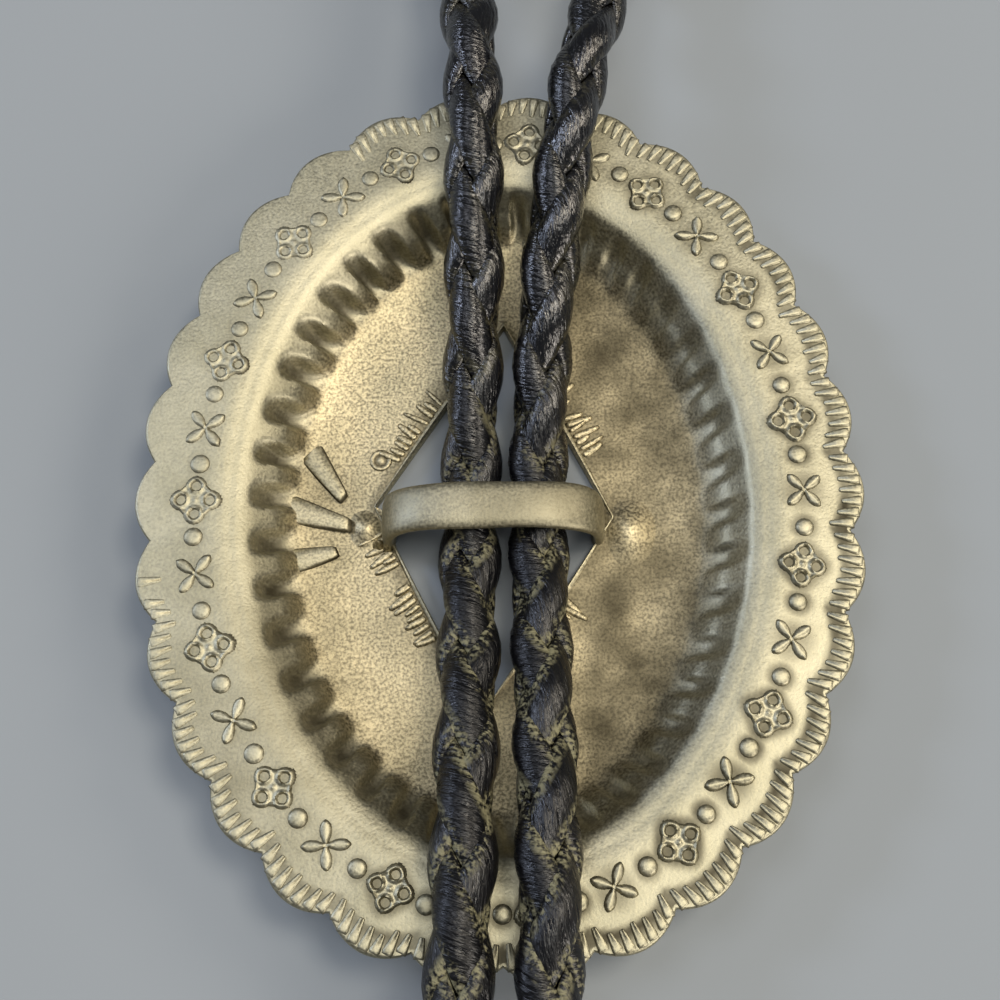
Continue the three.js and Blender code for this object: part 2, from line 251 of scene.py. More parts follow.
def frozen(piece, name):
    """The piece's evaluated mesh as a plain object of its own."""
    graph = bpy.context.evaluated_depsgraph_get()
    mesh = bpy.data.meshes.new_from_object(piece.evaluated_get(graph))
    mesh.name = name
    plain = new_object(name, mesh)
    source = piece.data
    bpy.data.objects.remove(piece)
    if isinstance(source, bpy.types.Mesh):
        bpy.data.meshes.remove(source)
    return plain


def new_tree(name, output, inputs):
    """A Geometry Nodes tree with one output, and the sockets of its named inputs."""
    tree = bpy.data.node_groups.new(name, "GeometryNodeTree")
    for label, kind in inputs.items():
        tree.interface.new_socket(label, in_out="INPUT", socket_type="NodeSocket" + kind)
    tree.interface.new_socket(output, in_out="OUTPUT", socket_type="NodeSocketGeometry")
    return tree, add(tree, "NodeGroupInput")


def run_tree(piece, tree, name, **values):
    """Runs a Geometry Nodes tree on the piece, with its named inputs, and keeps the result."""
    modifier = piece.modifiers.new(tree.name, "NODES")
    modifier.node_group = tree
    for item in tree.interface.items_tree:
        if item.in_out == "INPUT" and item.name in values:
            modifier[item.identifier] = values[item.name]
    return frozen(piece, name)


def joined(name, pieces):
    with bpy.context.temp_override(
        active_object=pieces[0], selected_editable_objects=pieces, selected_objects=pieces
    ):
        bpy.ops.object.join()
    pieces[0].name = name
    pieces[0].data.name = name
    return pieces[0]


def seat(piece, *nodes, slot):
    """The piece rides on the tie and stands for these nodes. Its slot is not used."""
    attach(piece, "root")
    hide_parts(*nodes)


# Concho: its oval, scallops and flutes

ring_angle = np.linspace(0, TURN, 4801)
ring_x = (HALF_WIDTH - STAMP_MARGIN) * np.sin(ring_angle)
ring_y = (HALF_HEIGHT - STAMP_MARGIN) * np.cos(ring_angle)
ring_length = np.concatenate([[0], np.cumsum(np.hypot(np.diff(ring_x), np.diff(ring_y)))])
RING_LENGTH = ring_length[-1]
LOBE_PITCH = RING_LENGTH / SCALLOPS


def turn_at(share):
    """Ellipse angle, clockwise from the top, at a share of the way round the ring of stamps."""
    return np.interp(share % 1.0, ring_length / RING_LENGTH, ring_angle)


def outward_at(turn):
    x = HALF_HEIGHT * np.sin(turn)
    y = HALF_WIDTH * np.cos(turn)
    size = np.hypot(x, y)
    return x / size, y / size


def oval_point(turn, margin):
    out_x, out_y = outward_at(turn)
    return HALF_WIDTH * np.sin(turn) - margin * out_x, HALF_HEIGHT * np.cos(turn) - margin * out_y


def strike(share, table):
    """How deep a tool was struck there. The maker's hand varies round the concho."""
    return np.interp(np.degrees(turn_at(share)), STRIKE_TURNS, table)


def scallop_margin(share):
    across = 2 * ((share * SCALLOPS) % 1) - 1
    return SCALLOP_DEPTH * across**2


FLUTE_HANDS = np.random.default_rng(11).uniform(-1, 1, FLUTES)


def flute_hand(share):
    """A small difference from one flute to the next, from -1 to 1."""
    return np.interp(share * FLUTES, np.arange(FLUTES + 1), np.append(FLUTE_HANDS, FLUTE_HANDS[0]))


def ridge_share(share, run):
    """1 on the crest of a tongue, 0 in the middle of a recess. One side falls off more steeply."""
    wave = TURN * (FLUTES * share + FLUTE_SLANT * run + 0.08 * flute_hand(share))
    skewed = wave + 0.35 * np.sin(wave)
    width = smooth_curve(run, WALL_RUNS, TONGUE_WIDTHS)
    crest = np.tanh(TONGUE_FIRMNESS * (np.cos(skewed) + width))
    high = np.tanh(TONGUE_FIRMNESS * (1 + width))
    low = np.tanh(TONGUE_FIRMNESS * (width - 1))
    return (crest - low) / (high - low)


def wall_drop(share, margin):
    """How far the sheet has dropped below the rim, from 0 to 1."""
    run = (margin - RIM_BAND) / WALL_RUN
    ridge = smooth_curve(run, WALL_RUNS, RIDGE_DROPS)
    recess = smooth_curve(run, WALL_RUNS, RECESS_DROPS)
    middle = (ridge + recess) / 2
    half = (recess - ridge) / 2 * strike(share, FLUTE_STRIKE) * (1 + 0.15 * flute_hand(share))
    return np.clip(middle + half * (1 - 2 * ridge_share(share, np.clip(run, 0, 1))), 0, 1)


def sheet_height(share, margin):
    """Height of the front of the sheet above the table."""
    floor_share = np.clip((margin - FLOOR_FOOT) / FLOOR_RUN, 0, 1)
    wall = BOWL_DEPTH - (BOWL_DEPTH - FLOOR_RISE) * wall_drop(share, margin)
    return wall - FLOOR_RISE * step_up(floor_share, -0.3, 1.0) * step_up(floor_share, 0, 0.3)


def floor_height(x, y):
    """Height of the back of the floor at a place, from its margin inside the oval."""
    reach = math.hypot(x / HALF_WIDTH, y / HALF_HEIGHT)
    margin = (1 - reach) * math.hypot(x, y) / max(reach, 1e-6)
    share = np.clip((margin - FLOOR_FOOT) / FLOOR_RUN, 0, 1)
    return SHEET + FLOOR_RISE * (1 - step_up(share, 0, 1))


def hand_work(x, y):
    """Low waves that hammering leaves in the rim, in mm."""
    return 0.05 * (np.sin(0.31 * x + 0.7) * np.cos(0.27 * y) + np.sin(0.17 * x - 0.23 * y + 2.0))


# Stamps: heights of one mark, with +y pointing out of the concho


def dot_height(x, y):
    return np.sqrt(np.clip(1 - (np.hypot(x, y) / DOT_RADIUS) ** 2, 0, 1)) * 0.9


def cross_height(x, y):
    """Four petals on the diagonals, each with a crest along its middle."""
    along = (np.abs(x) + np.abs(y)) / math.sqrt(2)
    beside = np.abs(np.abs(x) - np.abs(y)) / math.sqrt(2)
    share = np.clip(along / CROSS_REACH, 0, 1)
    half = PETAL_HALF_WIDTH * (4 * share * (1 - share)) ** 0.8 * (0.6 + 0.6 * share)
    inside = step_up(half - beside, -0.06, 0.09) * step_up(along, CROSS_REACH + 0.05, CROSS_REACH - 0.15)
    crest = 0.35 * np.clip(1 - beside / PETAL_HALF_WIDTH, 0, 1)
    eye = bump_at(np.hypot(x, y), 0, 0.22) * 0.6
    return np.maximum(inside * (0.65 + crest), eye)


def flower_height(x, y):
    """A square on its corner that bulges round a ring in each corner, with a seed in the middle."""
    across = (x + y) / math.sqrt(2)
    up = (y - x) / math.sqrt(2)
    eye = np.hypot(np.abs(across) - EYE_AT, np.abs(up) - EYE_AT)
    square = np.maximum(np.abs(across), np.abs(up))
    body = np.maximum(step_up(square, FLOWER_HALF_SIDE + 0.02, FLOWER_HALF_SIDE - 0.2),
                      step_up(eye, EYE_RADIUS + 0.34, EYE_RADIUS + 0.16))
    edge = bump_at(square, FLOWER_HALF_SIDE - 0.16, 0.12) * body
    ring = bump_at(eye, EYE_RADIUS, 0.11)
    cup = step_up(eye, EYE_RADIUS - 0.05, EYE_RADIUS - 0.17)
    seed = bump_at(np.hypot(across, up), 0, 0.2)
    return body * 0.5 + np.maximum(edge, ring) * 0.5 - cup * 0.5 + seed * 0.4


def stamps_near(share):
    """The lobe, and how far along the ring its stamp's middle and the nearest dot's are, in mm."""
    along = share * SCALLOPS
    lobe = np.floor(along)
    return lobe, (along - lobe - 0.5) * LOBE_PITCH, (along - np.round(along)) * LOBE_PITCH


def stamp_height(share, margin):
    """Height of the ring of stamps at a place on the rim, as a share of the full relief."""
    lobe, x, dot_x = stamps_near(share)
    y = STAMP_MARGIN - margin
    stamp = np.where(lobe % 2 == 0, flower_height(x, y), cross_height(x, y))
    return np.maximum(dot_height(dot_x, y), stamp)


def painted_stamp_shade(share, margin):
    """Painted shade: a dark outline round the foot of each stamp, darker where it is struck deeper."""
    lobe, x, dot_x = stamps_near(share)
    y = STAMP_MARGIN - margin
    dot = step_up(np.hypot(dot_x, y), DOT_RADIUS + HALO_WIDTH, DOT_RADIUS)
    across, up = np.abs(x + y) / math.sqrt(2), np.abs(y - x) / math.sqrt(2)
    square = (across**4 + up**4) ** 0.25
    flower = step_up(square, FLOWER_HALF_SIDE + HALO_WIDTH, FLOWER_HALF_SIDE)
    cross = step_up(np.hypot(x, y), CROSS_REACH + 0.4, CROSS_REACH * 0.4)
    halo = np.maximum(dot, np.where(lobe % 2 == 0, flower, 0.7 * cross))
    return 0.55 * halo * strike(share, STAMP_STRIKE) ** 2


def hatch_band(share, margin):
    """Tarnish between the short ridges along the scallops' edge."""
    inset = margin - 0.75 * scallop_margin(share)
    band = step_up(inset, 0.3, 0.7) * step_up(inset, 2.3, 1.7)
    return 0.8 * band * np.clip(strike(share, HATCH_STRIKE) - 0.1, 0, 1)


# Concho: the sheet

STEPS = SCALLOPS * 20
# Rows round the edge, from the back to the front: how far inside the scallops, and the height there.
EDGE_ROWS = (
    (0.32, 0.9), (0.18, 0.89), (0.08, 0.8), (0.02, 0.62), (0.0, 0.45), (0.02, 0.22), (0.12, 0.06),
    (0.4, 0.0), (1.0, 0.0),
)
RIM_ROWS = np.concatenate([[1.62, 1.85, 2.1], np.linspace(2.4, 6.6, 13)])
WALL_ROWS = np.linspace(RIM_BAND - 0.6, FLOOR_FOOT + 0.6, 24)
FLOOR_ROWS = np.linspace(FLOOR_FOOT + 1.1, LAND_MARGIN, 7)
# Shares of the way from the land's edge to the diamond, on the back and on the front.
LAND_ROWS = (0.3, 0.55, 0.75, 0.86, 0.915, 0.945, 0.975)
FRONT_LAND_ROWS = (0.5, 0.9, 0.995, 1.0)
# The cut's rounded edge: a share of that way, and how far below the lip.
CUT_ROWS = ((1.0, 0.3), (0.995, 0.02))
LIP = 0.1
BURR = 0.2
FRONT_ROWS = np.concatenate([np.linspace(2.2, 7.0, 9), np.linspace(7.5, 12.0, 9), [14.0, LAND_MARGIN]])
# How deep the stamps show as hollows on the front.
FRONT_HOLLOW = 0.22


def diamond_ring(x, y):
    """The diamond's outline, at the directions in which these points lie from its middle."""
    dx, dy = x - DIAMOND_AT[0], y - DIAMOND_AT[1]
    angle = np.arctan2(dy, dx) - DIAMOND_TURN
    reach = 1 / (np.abs(np.cos(angle)) / DIAMOND_HALF[0] + np.abs(np.sin(angle)) / DIAMOND_HALF[1])
    return (DIAMOND_AT[0] + reach * np.cos(angle + DIAMOND_TURN),
            DIAMOND_AT[1] + reach * np.sin(angle + DIAMOND_TURN))


def flute_tarnish(share, margin):
    """Brown in the recesses and along the foot of the wall."""
    run = (margin - RIM_BAND) / WALL_RUN
    recess = 1 - ridge_share(share, np.clip(run, 0, 1))
    pocket = step_up(recess, 0.72, 0.97) * step_up(run, 0.38, 0.55) * step_up(run, 1.0, 0.7)
    foot = bump_at(run, 1.1, 0.14) * 0.15
    return np.clip(pocket + foot, 0, 1) * strike(share, FLUTE_TARNISH)


def floor_patina_and_shade(x, y):
    """Darker floor: painted shade to the right, tarnish low down and round the wedge marks."""
    # Painted shade, with a little tarnish: the right of the floor is darkened for the shade it lies in.
    right = 0.68 * step_up(x, -1.0, 9.0)
    low_left = 0.24 * step_up(y, 10.0, -10.0)
    marks = 0.35 * bump_at(np.hypot((x + 15.0) / 4.5, (y - 0.5) / 6.0), 0, 1)
    return np.maximum(right + marks, low_left)


def shoulder_patina(x, y):
    """A dull patch low on the left, where the sheet turns down into the bowl."""
    return 0.26 * bump_at(np.hypot((x + 19.0) / 9.0, (y + 19.0) / 14.0), 0, 1)


def sheet_rows():
    """Rings of the sheet, from the cut on the back out to the edge and back in on the front.

    Each row is x, y, z, tarnish with painted shade, bowl film.
    """
    share = np.arange(STEPS) / STEPS
    turn = turn_at(share)
    edge = scallop_margin(share)
    land_x, land_y = oval_point(turn, LAND_MARGIN)
    cut_x, cut_y = diamond_ring(land_x, land_y)
    none = np.zeros(STEPS)
    full = np.ones(STEPS)
    rows = []

    def thickness(margin):
        run = np.clip((margin - RIM_BAND) / WALL_RUN, 0, 1)
        return SHEET * (1 + WALL_THICKENING * np.sin(math.pi * run))

    def towards_cut(blend):
        return land_x + (cut_x - land_x) * blend, land_y + (cut_y - land_y) * blend

    for blend, drop in CUT_ROWS:
        x, y = towards_cut(blend)
        rows.append((x, y, none + SHEET + LIP - drop, none, full))
    for blend in reversed(LAND_ROWS):
        x, y = towards_cut(blend)
        lip = LIP * step_up(blend, 0.6, 0.9) + BURR * step_up(blend, 0.91, 0.955)
        cut = 0.6 * step_up(blend, 0.6, 0.85) * step_up(blend, 0.95, 0.92)
        burr = step_up(blend, 0.91, 0.95)
        # The land takes the floor's tarnish and painted shade.
        patina_and_shade = np.maximum(cut, floor_patina_and_shade(x, y)) * (1 - burr)
        rows.append((x, y, none + SHEET + lip, patina_and_shade, full - 0.7 * burr))
    for margin in (*FLOOR_ROWS[::-1], *WALL_ROWS[::-1], *RIM_ROWS[::-1]):
        there = none + margin
        x, y = oval_point(turn, there)
        film = step_up(margin, RIM_BAND + 3.4, FLOOR_FOOT + 0.8) * full
        z = sheet_height(share, there) + thickness(margin)
        z = z + hand_work(x, y) * step_up(margin, FLOOR_FOOT, RIM_BAND)
        # Tarnish in the flutes and along the scallops' edge, and painted shade round the stamps and on the
        # right of the floor.
        tarnish = np.maximum.reduce([
            flute_tarnish(share, there), painted_stamp_shade(share, there), hatch_band(share, there),
            film * floor_patina_and_shade(x, y), shoulder_patina(x, y),
        ])
        rows.append((x, y, z, tarnish, film))
    for inset, height in EDGE_ROWS:
        x, y = oval_point(turn, edge + inset)
        rows.append((x, y, BOWL_DEPTH + height + hand_work(x, y), none, none))
    for margin in FRONT_ROWS:
        there = none + margin
        x, y = oval_point(turn, there)
        sunk = FRONT_HOLLOW * np.clip(stamp_height(share, there), 0, 1) * strike(share, STAMP_STRIKE)
        z = sheet_height(share, there) + sunk * step_up(margin, RIM_BAND, RIM_BAND - 0.5)
        z = z + hand_work(x, y) * step_up(margin, FLOOR_FOOT, RIM_BAND)
        rows.append((x, y, z, flute_tarnish(share, there) * 0.5, none))
    for blend in FRONT_LAND_ROWS:
        x, y = towards_cut(blend)
        rows.append((x, y, none + 0.1 * step_up(blend, 0.992, 1.0), none, none))
    return rows


def sheet_piece():
    rows = sheet_rows()
    table = np.array(rows)
    points = table[:, :3].transpose(0, 2, 1).reshape(-1, 3)
    faces = ring_faces(len(rows), STEPS, last_to_first=True, flipped=True)
    mesh = new_mesh("sheet", points, faces, tarnish=table[:, 3], film=table[:, 4])
    smooth_by_angle(mesh, 40)
    return new_object("sheet", mesh)


# Marks struck with punches: each die is one small mesh, and a tree strikes it wherever it belongs

# How far a stamp's foot lies below the sheet's face, in mm.
DIE_FOOT = 0.55


def die_from_height(name, height, reach, cells, relief):
    """A die whose top follows a height formula, and whose sides run down to a foot in the sheet."""
    line = np.linspace(-reach, reach, cells + 1)
    x, y = np.meshgrid(line, line)
    level = height(x, y)
    top = relief * level - 0.1 * step_up(level, 0.12, 0.0)
    grid = np.stack([x, y, top], -1).reshape(-1, 3)
    raised = level.ravel() > 0.02
    side = cells + 1
    cell_faces = []
    for row in range(cells):
        for col in range(cells):
            first = row * side + col
            face = (first, first + 1, first + side + 1, first + side)
            if raised[list(face)].any():
                cell_faces.append(face)
    used = np.unique(cell_faces)
    renamed = {old: new for new, old in enumerate(used.tolist())}
    faces = [tuple(renamed[at] for at in face) for face in cell_faces]
    ways = {(a, b) for face in faces for a, b in zip(face, face[1:] + face[:1])}
    border = sorted((a, b) for a, b in ways if (b, a) not in ways)
    foot_of = {at: len(used) + number for number, at in enumerate(sorted({a for a, b in border}))}
    feet = grid[used[list(foot_of)]] * (1, 1, 0) - (0, 0, DIE_FOOT)
    middle = len(used) + len(feet)
    for a, b in border:
        faces.append((b, a, foot_of[a], foot_of[b]))
        faces.append((foot_of[b], foot_of[a], middle))
    points = np.concatenate([grid[used], feet, [(0, 0, -DIE_FOOT)]])
    # Painted shade: the low ground at the foot of each mark and in its hollows is painted dark.
    low_ground_shade = np.concatenate([step_up(level.ravel()[used], 0.45, 0.05), np.ones(len(feet) + 1)])
    mesh = new_mesh(name, points, faces, tarnish=low_ground_shade * 0.9, film=np.zeros(len(points)))
    smooth_by_angle(mesh, 60)
    return new_object(name, mesh)


def die_from_rings(name, outline, levels, film=0.0):
    """A raised mark on an outline that narrows as it rises, with a flat foot sunk in the sheet.

    Each level holds the outline's size along x and along y, its height and how dark it is painted there:
    painted shade at the mark's foot, with tarnish.
    """
    count = len(outline)
    points, tarnish = [], []
    for wide, long, height, dark in levels:
        for x, y in outline:
            points.append((x * wide, y * long, height))
            tarnish.append(dark)
    faces = ring_faces(len(levels), count, flipped=True)
    faces.append(tuple(range(count - 1, -1, -1)))
    faces.append(tuple(range((len(levels) - 1) * count, len(levels) * count)))
    mesh = new_mesh(name, points, faces, tarnish=tarnish, film=[film] * len(points))
    smooth_by_angle(mesh, 70)
    return new_object(name, mesh)


def round_outline(count):
    return [(math.cos(TURN * at / count), math.sin(TURN * at / count)) for at in range(count)]


def bar_outline():
    """A bar one unit long along y, from 0 to 1, and one unit to each side at its widest."""
    return [(0.55, 0.0), (1.0, 0.12), (1.0, 0.6), (0.6, 0.95), (0.0, 1.0), (-0.6, 0.95), (-1.0, 0.6),
            (-1.0, 0.12), (-0.55, 0.0)]


def tooth_outline():
    """A bar one unit long along y that widens from its inner end to the concho's edge."""
    return [(0.3, 0.0), (0.5, 0.05), (1.0, 0.85), (0.85, 1.0), (-0.85, 1.0), (-1.0, 0.85), (-0.5, 0.05),
            (-0.3, 0.0)]


def wedge_outline():
    """A blunt bar one unit long that narrows a little towards its inner end."""
    return [(0.85, 0.04), (1.0, 0.12), (0.48, 0.92), (0.34, 1.0), (-0.4, 0.96), (-0.52, 0.88), (-1.0, 0.03),
            (-0.8, 0.0)]


def punch_tree():
    """Strikes a die at every point, turned and sized by the point's attributes."""
    tree, given = new_tree("struck_marks", "Marks", {
        "Places": "Geometry", "Die": "Object", "Relief": "Float", "Metal": "Material",
    })
    turn = add(tree, "GeometryNodeInputNamedAttribute", {"Name": "turn"}, data_type="FLOAT")
    size = add(tree, "GeometryNodeInputNamedAttribute", {"Name": "size"}, data_type="FLOAT_VECTOR")
    upright = add(tree, "ShaderNodeCombineXYZ", {"Z": turn[0]})
    rotation = add(tree, "FunctionNodeEulerToRotation", {0: upright[0]})
    depth = add(tree, "ShaderNodeCombineXYZ", {"X": 1.0, "Y": 1.0, "Z": given["Relief"]})
    scale = add(tree, "ShaderNodeVectorMath", {0: size[0], 1: depth[0]}, operation="MULTIPLY")
    die = add(tree, "GeometryNodeObjectInfo", {"Object": given["Die"]})
    marks = add(tree, "GeometryNodeInstanceOnPoints", {
        "Points": given["Places"], "Instance": die["Geometry"],
        "Rotation": rotation[0], "Scale": scale[0],
    })
    real = add(tree, "GeometryNodeRealizeInstances", {0: marks[0]})
    no_turn = add(tree, "GeometryNodeRemoveAttribute", {"Geometry": real[0], "Name": "turn"})
    no_size = add(tree, "GeometryNodeRemoveAttribute", {"Geometry": no_turn[0], "Name": "size"})
    metal = add(tree, "GeometryNodeSetMaterial", {"Geometry": no_size[0], "Material": given["Metal"]})
    add(tree, "NodeGroupOutput", {0: metal[0]})
    return tree


def strike_marks(name, tree, die, places, relief, metal):
    """places: rows of x, y, z in mm, the turn in radians and the sizes along x, y and z."""
    rows = np.array(places)
    mesh = bpy.data.meshes.new(name)
    mesh.from_pydata((rows[:, :3] * MM).tolist(), [], [])
    mesh.attributes.new("turn", "FLOAT", "POINT").data.foreach_set("value", rows[:, 3].astype(np.float32))
    sizes = mesh.attributes.new("size", "FLOAT_VECTOR", "POINT")
    sizes.data.foreach_set("vector", rows[:, 4:7].astype(np.float32).ravel())
    struck = run_tree(new_object(name, mesh), tree, name, Die=die, Relief=relief, Metal=metal)
    bpy.data.objects.remove(die)
    return struck


def ring_places(shares, rng):
    """Places on the ring of stamps, each struck a little differently."""
    places = []
    for share in shares:
        turn = turn_at(share)
        x, y = oval_point(turn, STAMP_MARGIN + rng.uniform(-0.12, 0.12))
        out_x, out_y = outward_at(turn)
        angle = math.atan2(out_y, out_x) - math.pi / 2 + rng.uniform(-0.1, 0.1)
        size = rng.uniform(0.95, 1.06)
        depth = strike(share, STAMP_STRIKE) * rng.uniform(0.8, 1.15)
        places.append((x, y, RIM_TOP + hand_work(x, y), angle, size, size, depth))
    return places


# Ridges across each scallop's edge. Where the hammer fell more lightly than this, no ridge shows.
HATCH_BARS = 7
FAINTEST_HATCH = 0.14


def hatch_places(rng):
    """Short ridges across the scallops' edge, fanned out over each lobe."""
    places = []
    for lobe in range(SCALLOPS):
        for bar in range(HATCH_BARS):
            share = (lobe + (bar + 0.5) / HATCH_BARS) / SCALLOPS
            depth = float(strike(share, HATCH_STRIKE)) * rng.uniform(0.7, 1.15)
            if depth < FAINTEST_HATCH:
                continue
            turn = turn_at(share)
            length = rng.uniform(1.5, 2.0)
            margin = scallop_margin(share) * 0.85 + 0.25 + length
            x, y = oval_point(turn, margin)
            out_x, out_y = outward_at(turn)
            fan = 0.28 * ((bar + 0.5) / HATCH_BARS - 0.5)
            angle = math.atan2(out_y, out_x) - math.pi / 2 + fan + rng.uniform(-0.05, 0.05)
            places.append((x, y, RIM_TOP + hand_work(x, y), angle, 1.0, length, depth))
    return places


# Groups of short cuts across the diamond's sides: the side, and where each starts and ends on it.
# Sides run from the right corner to the top, the left, the bottom and back.
HACHURE_GROUPS = (
    (0, 0.3, 0.52), (0, 0.56, 0.72), (1, 0.46, 0.6), (1, 0.62, 0.8), (2, 0.12, 0.3), (2, 0.38, 0.66),
    (3, 0.34, 0.62),
)
HACHURE_PITCH = 0.55


def hachure_places(rng):
    corners = [(DIAMOND_HALF[0], 0), (0, DIAMOND_HALF[1]), (-DIAMOND_HALF[0], 0), (0, -DIAMOND_HALF[1])]
    places = []
    for side, start, end in HACHURE_GROUPS:
        a, b = Vector(corners[side]), Vector(corners[(side + 1) % 4])
        along = b - a
        count = int(along.length * (end - start) / HACHURE_PITCH)
        out = Vector((along.y, -along.x)).normalized()
        inset = rng.uniform(0.35, 0.6)
        for at in range(count):
            spot = a + along * (start + (end - start) * at / count) + out * inset
            spot.rotate(Matrix.Rotation(DIAMOND_TURN, 2))
            lean = out.copy()
            lean.rotate(Matrix.Rotation(DIAMOND_TURN + rng.uniform(-0.22, 0.22), 2))
            angle = math.atan2(lean.y, lean.x) - math.pi / 2
            length = rng.uniform(1.2, 2.4)
            places.append((spot.x + DIAMOND_AT[0], spot.y + DIAMOND_AT[1], SHEET + 0.06, angle,
                           rng.uniform(0.6, 1.0), length, rng.uniform(0.8, 1.4)))
    return places


# Wedge marks on the floor beside the bridge: start, end and half width, in mm.
WEDGES = (
    ((-15.8, 5.6), (-12.9, 1.4), 1.0),
    ((-17.6, 0.7), (-12.3, -0.9), 1.15),
    ((-16.9, -3.9), (-13.3, -3.1), 1.0),
)


def wedge_places():
    places = []
    for (x0, y0), (x1, y1), half in WEDGES:
        angle = math.atan2(y1 - y0, x1 - x0) - math.pi / 2
        places.append((x0, y0, floor_height(x0, y0), angle, half, math.hypot(x1 - x0, y1 - y0), 1.0))
    return places


# A small ring left of the diamond, in mm.
EYELET_AT = (-9.9, 4.9)
EYELET_RADIUS = 0.95


def eyelet_places():
    return [(*EYELET_AT, floor_height(*EYELET_AT), 0.0, EYELET_RADIUS, EYELET_RADIUS, 1.0)]


def struck_pieces(metal):
    """Every struck mark. The levels of a die hold its width, length, height and darkness: tarnish and
    painted shade.
    """
    rng = np.random.default_rng(5)
    dot = die_from_rings("dot_die", round_outline(14), [
        (0.8, 0.8, -0.25, 0.9), (0.76, 0.76, 0.0, 0.8), (0.69, 0.69, 0.16, 0.2), (0.5, 0.5, 0.25, 0),
        (0.24, 0.24, 0.29, 0),
    ])
    eyelet = die_from_rings("eyelet_die", round_outline(20), [
        (1.1, 1.1, -0.3, 0.9), (1.0, 1.0, 0.06, 0.6), (0.86, 0.86, 0.15, 0), (0.66, 0.66, 0.12, 0.2),
        (0.55, 0.55, 0.03, 0.9), (0.34, 0.34, 0.05, 0.6), (0.2, 0.2, 0.12, 0),
    ], film=0.8)
    hatch = die_from_rings("hatch_die", tooth_outline(), [
        (0.46, 1.03, -0.25, 0.9), (0.43, 1.0, 0.0, 0.5), (0.36, 0.97, 0.12, 0.0), (0.2, 0.9, 0.15, 0.0),
    ])
    hachure = die_from_rings("hachure_die", bar_outline(), [
        (0.4, 1.06, -0.25, 0.9), (0.36, 1.03, 0.0, 0.7), (0.29, 0.98, 0.17, 0.0), (0.15, 0.9, 0.23, 0.0),
    ], film=1.0)
    wedge = die_from_rings("wedge_die", wedge_outline(), [
        (1.12, 1.03, -0.3, 1.0), (1.03, 1.0, 0.0, 0.8), (0.88, 0.97, 0.07, 0.0), (0.3, 0.92, 0.1, 0.0),
    ], film=0.5)
    cross = die_from_height("cross_die", cross_height, 1.95, 36, STAMP_RELIEF)
    flower = die_from_height("flower_die", flower_height, 2.15, 40, STAMP_RELIEF)
    dots_at = np.arange(SCALLOPS) / SCALLOPS
    stamps_at = (np.arange(SCALLOPS) + 0.5) / SCALLOPS
    tree = punch_tree()
    return [strike_marks(name, tree, die, places, relief, metal) for name, die, places, relief in (
        ("dots", dot, ring_places(dots_at, rng), 1.0),
        ("crosses", cross, ring_places(stamps_at[1::2], rng), 1.0),
        ("flowers", flower, ring_places(stamps_at[0::2], rng), 1.0),
        ("edge_hatch", hatch, hatch_places(rng), 1.0),
        ("hachures", hachure, hachure_places(rng), 0.7),
        ("wedges", wedge, wedge_places(), 1.0),
        ("eyelet", eyelet, eyelet_places(), 1.0),
    )]


# Bridge


def arch_line(samples):
    """The strap's middle line in x and z, evenly spaced along it, with its slope."""
    angle = np.linspace(math.pi, 0, 2001)
    power = 2 / BRIDGE_SQUARENESS
    root = SHEET / 2
    rise = BRIDGE_TOP - BRIDGE_THICKNESS / 2 - root
    x = BRIDGE_HALF_SPAN * np.sign(np.cos(angle)) * np.abs(np.cos(angle)) ** power
    z = root + rise * np.abs(np.sin(angle)) ** power
    length = np.concatenate([[0], np.cumsum(np.hypot(np.diff(x), np.diff(z)))])
    at = np.linspace(0, length[-1], samples)
    x, z = np.interp(at, length, x), np.interp(at, length, z)
    slope_x, slope_z = np.gradient(x), np.gradient(z)
    size = np.hypot(slope_x, slope_z)
    return x, z, slope_x / size, slope_z / size


def strap_piece():
    """The strap: a flat strip with rounded edges and a slightly crowned top, bent into an arch."""
    samples, sides = 90, 28
    x, z, along_x, along_z = arch_line(samples)
    points = []
    for at in range(samples):
        for side in range(sides):
            angle = TURN * side / sides
            wide = math.copysign(abs(math.cos(angle)) ** 0.6, math.cos(angle))
            thick = math.copysign(abs(math.sin(angle)) ** 0.75, math.sin(angle))
            half_width = BRIDGE_WIDTH / 2 * (1 + 0.02 * math.sin(at * 0.21))
            y = BRIDGE_AT[1] + half_width * wide
            up = BRIDGE_THICKNESS / 2 * thick
            points.append((BRIDGE_AT[0] + x[at] - along_z[at] * up, y, z[at] + along_x[at] * up))
    faces = ring_faces(samples, sides, flipped=True)
    faces.append(tuple(range(sides - 1, -1, -1)))
    faces.append(tuple(range(len(points) - sides, len(points))))
    count = len(points)
    mesh = new_mesh("strap", points, faces, tarnish=np.full(count, 0.32), film=np.full(count, 0.15))
    smooth_by_angle(mesh, 50)
    return new_object("strap", mesh)


# Mounds of solder that sweep down to the floor: middle, half sizes, height and how dark they are.
SOLDER = (
    ((10.7, -1.6), (2.9, 3.3), 0.8, 0.0),
    ((-11.0, -1.1), (1.8, 2.2), 0.6, 0.0),
    ((-9.9, -2.5), (0.7, 0.7), 1.2, 0.0),
    ((-9.2, -2.7), (0.7, 0.6), 1.5, 0.0),
)


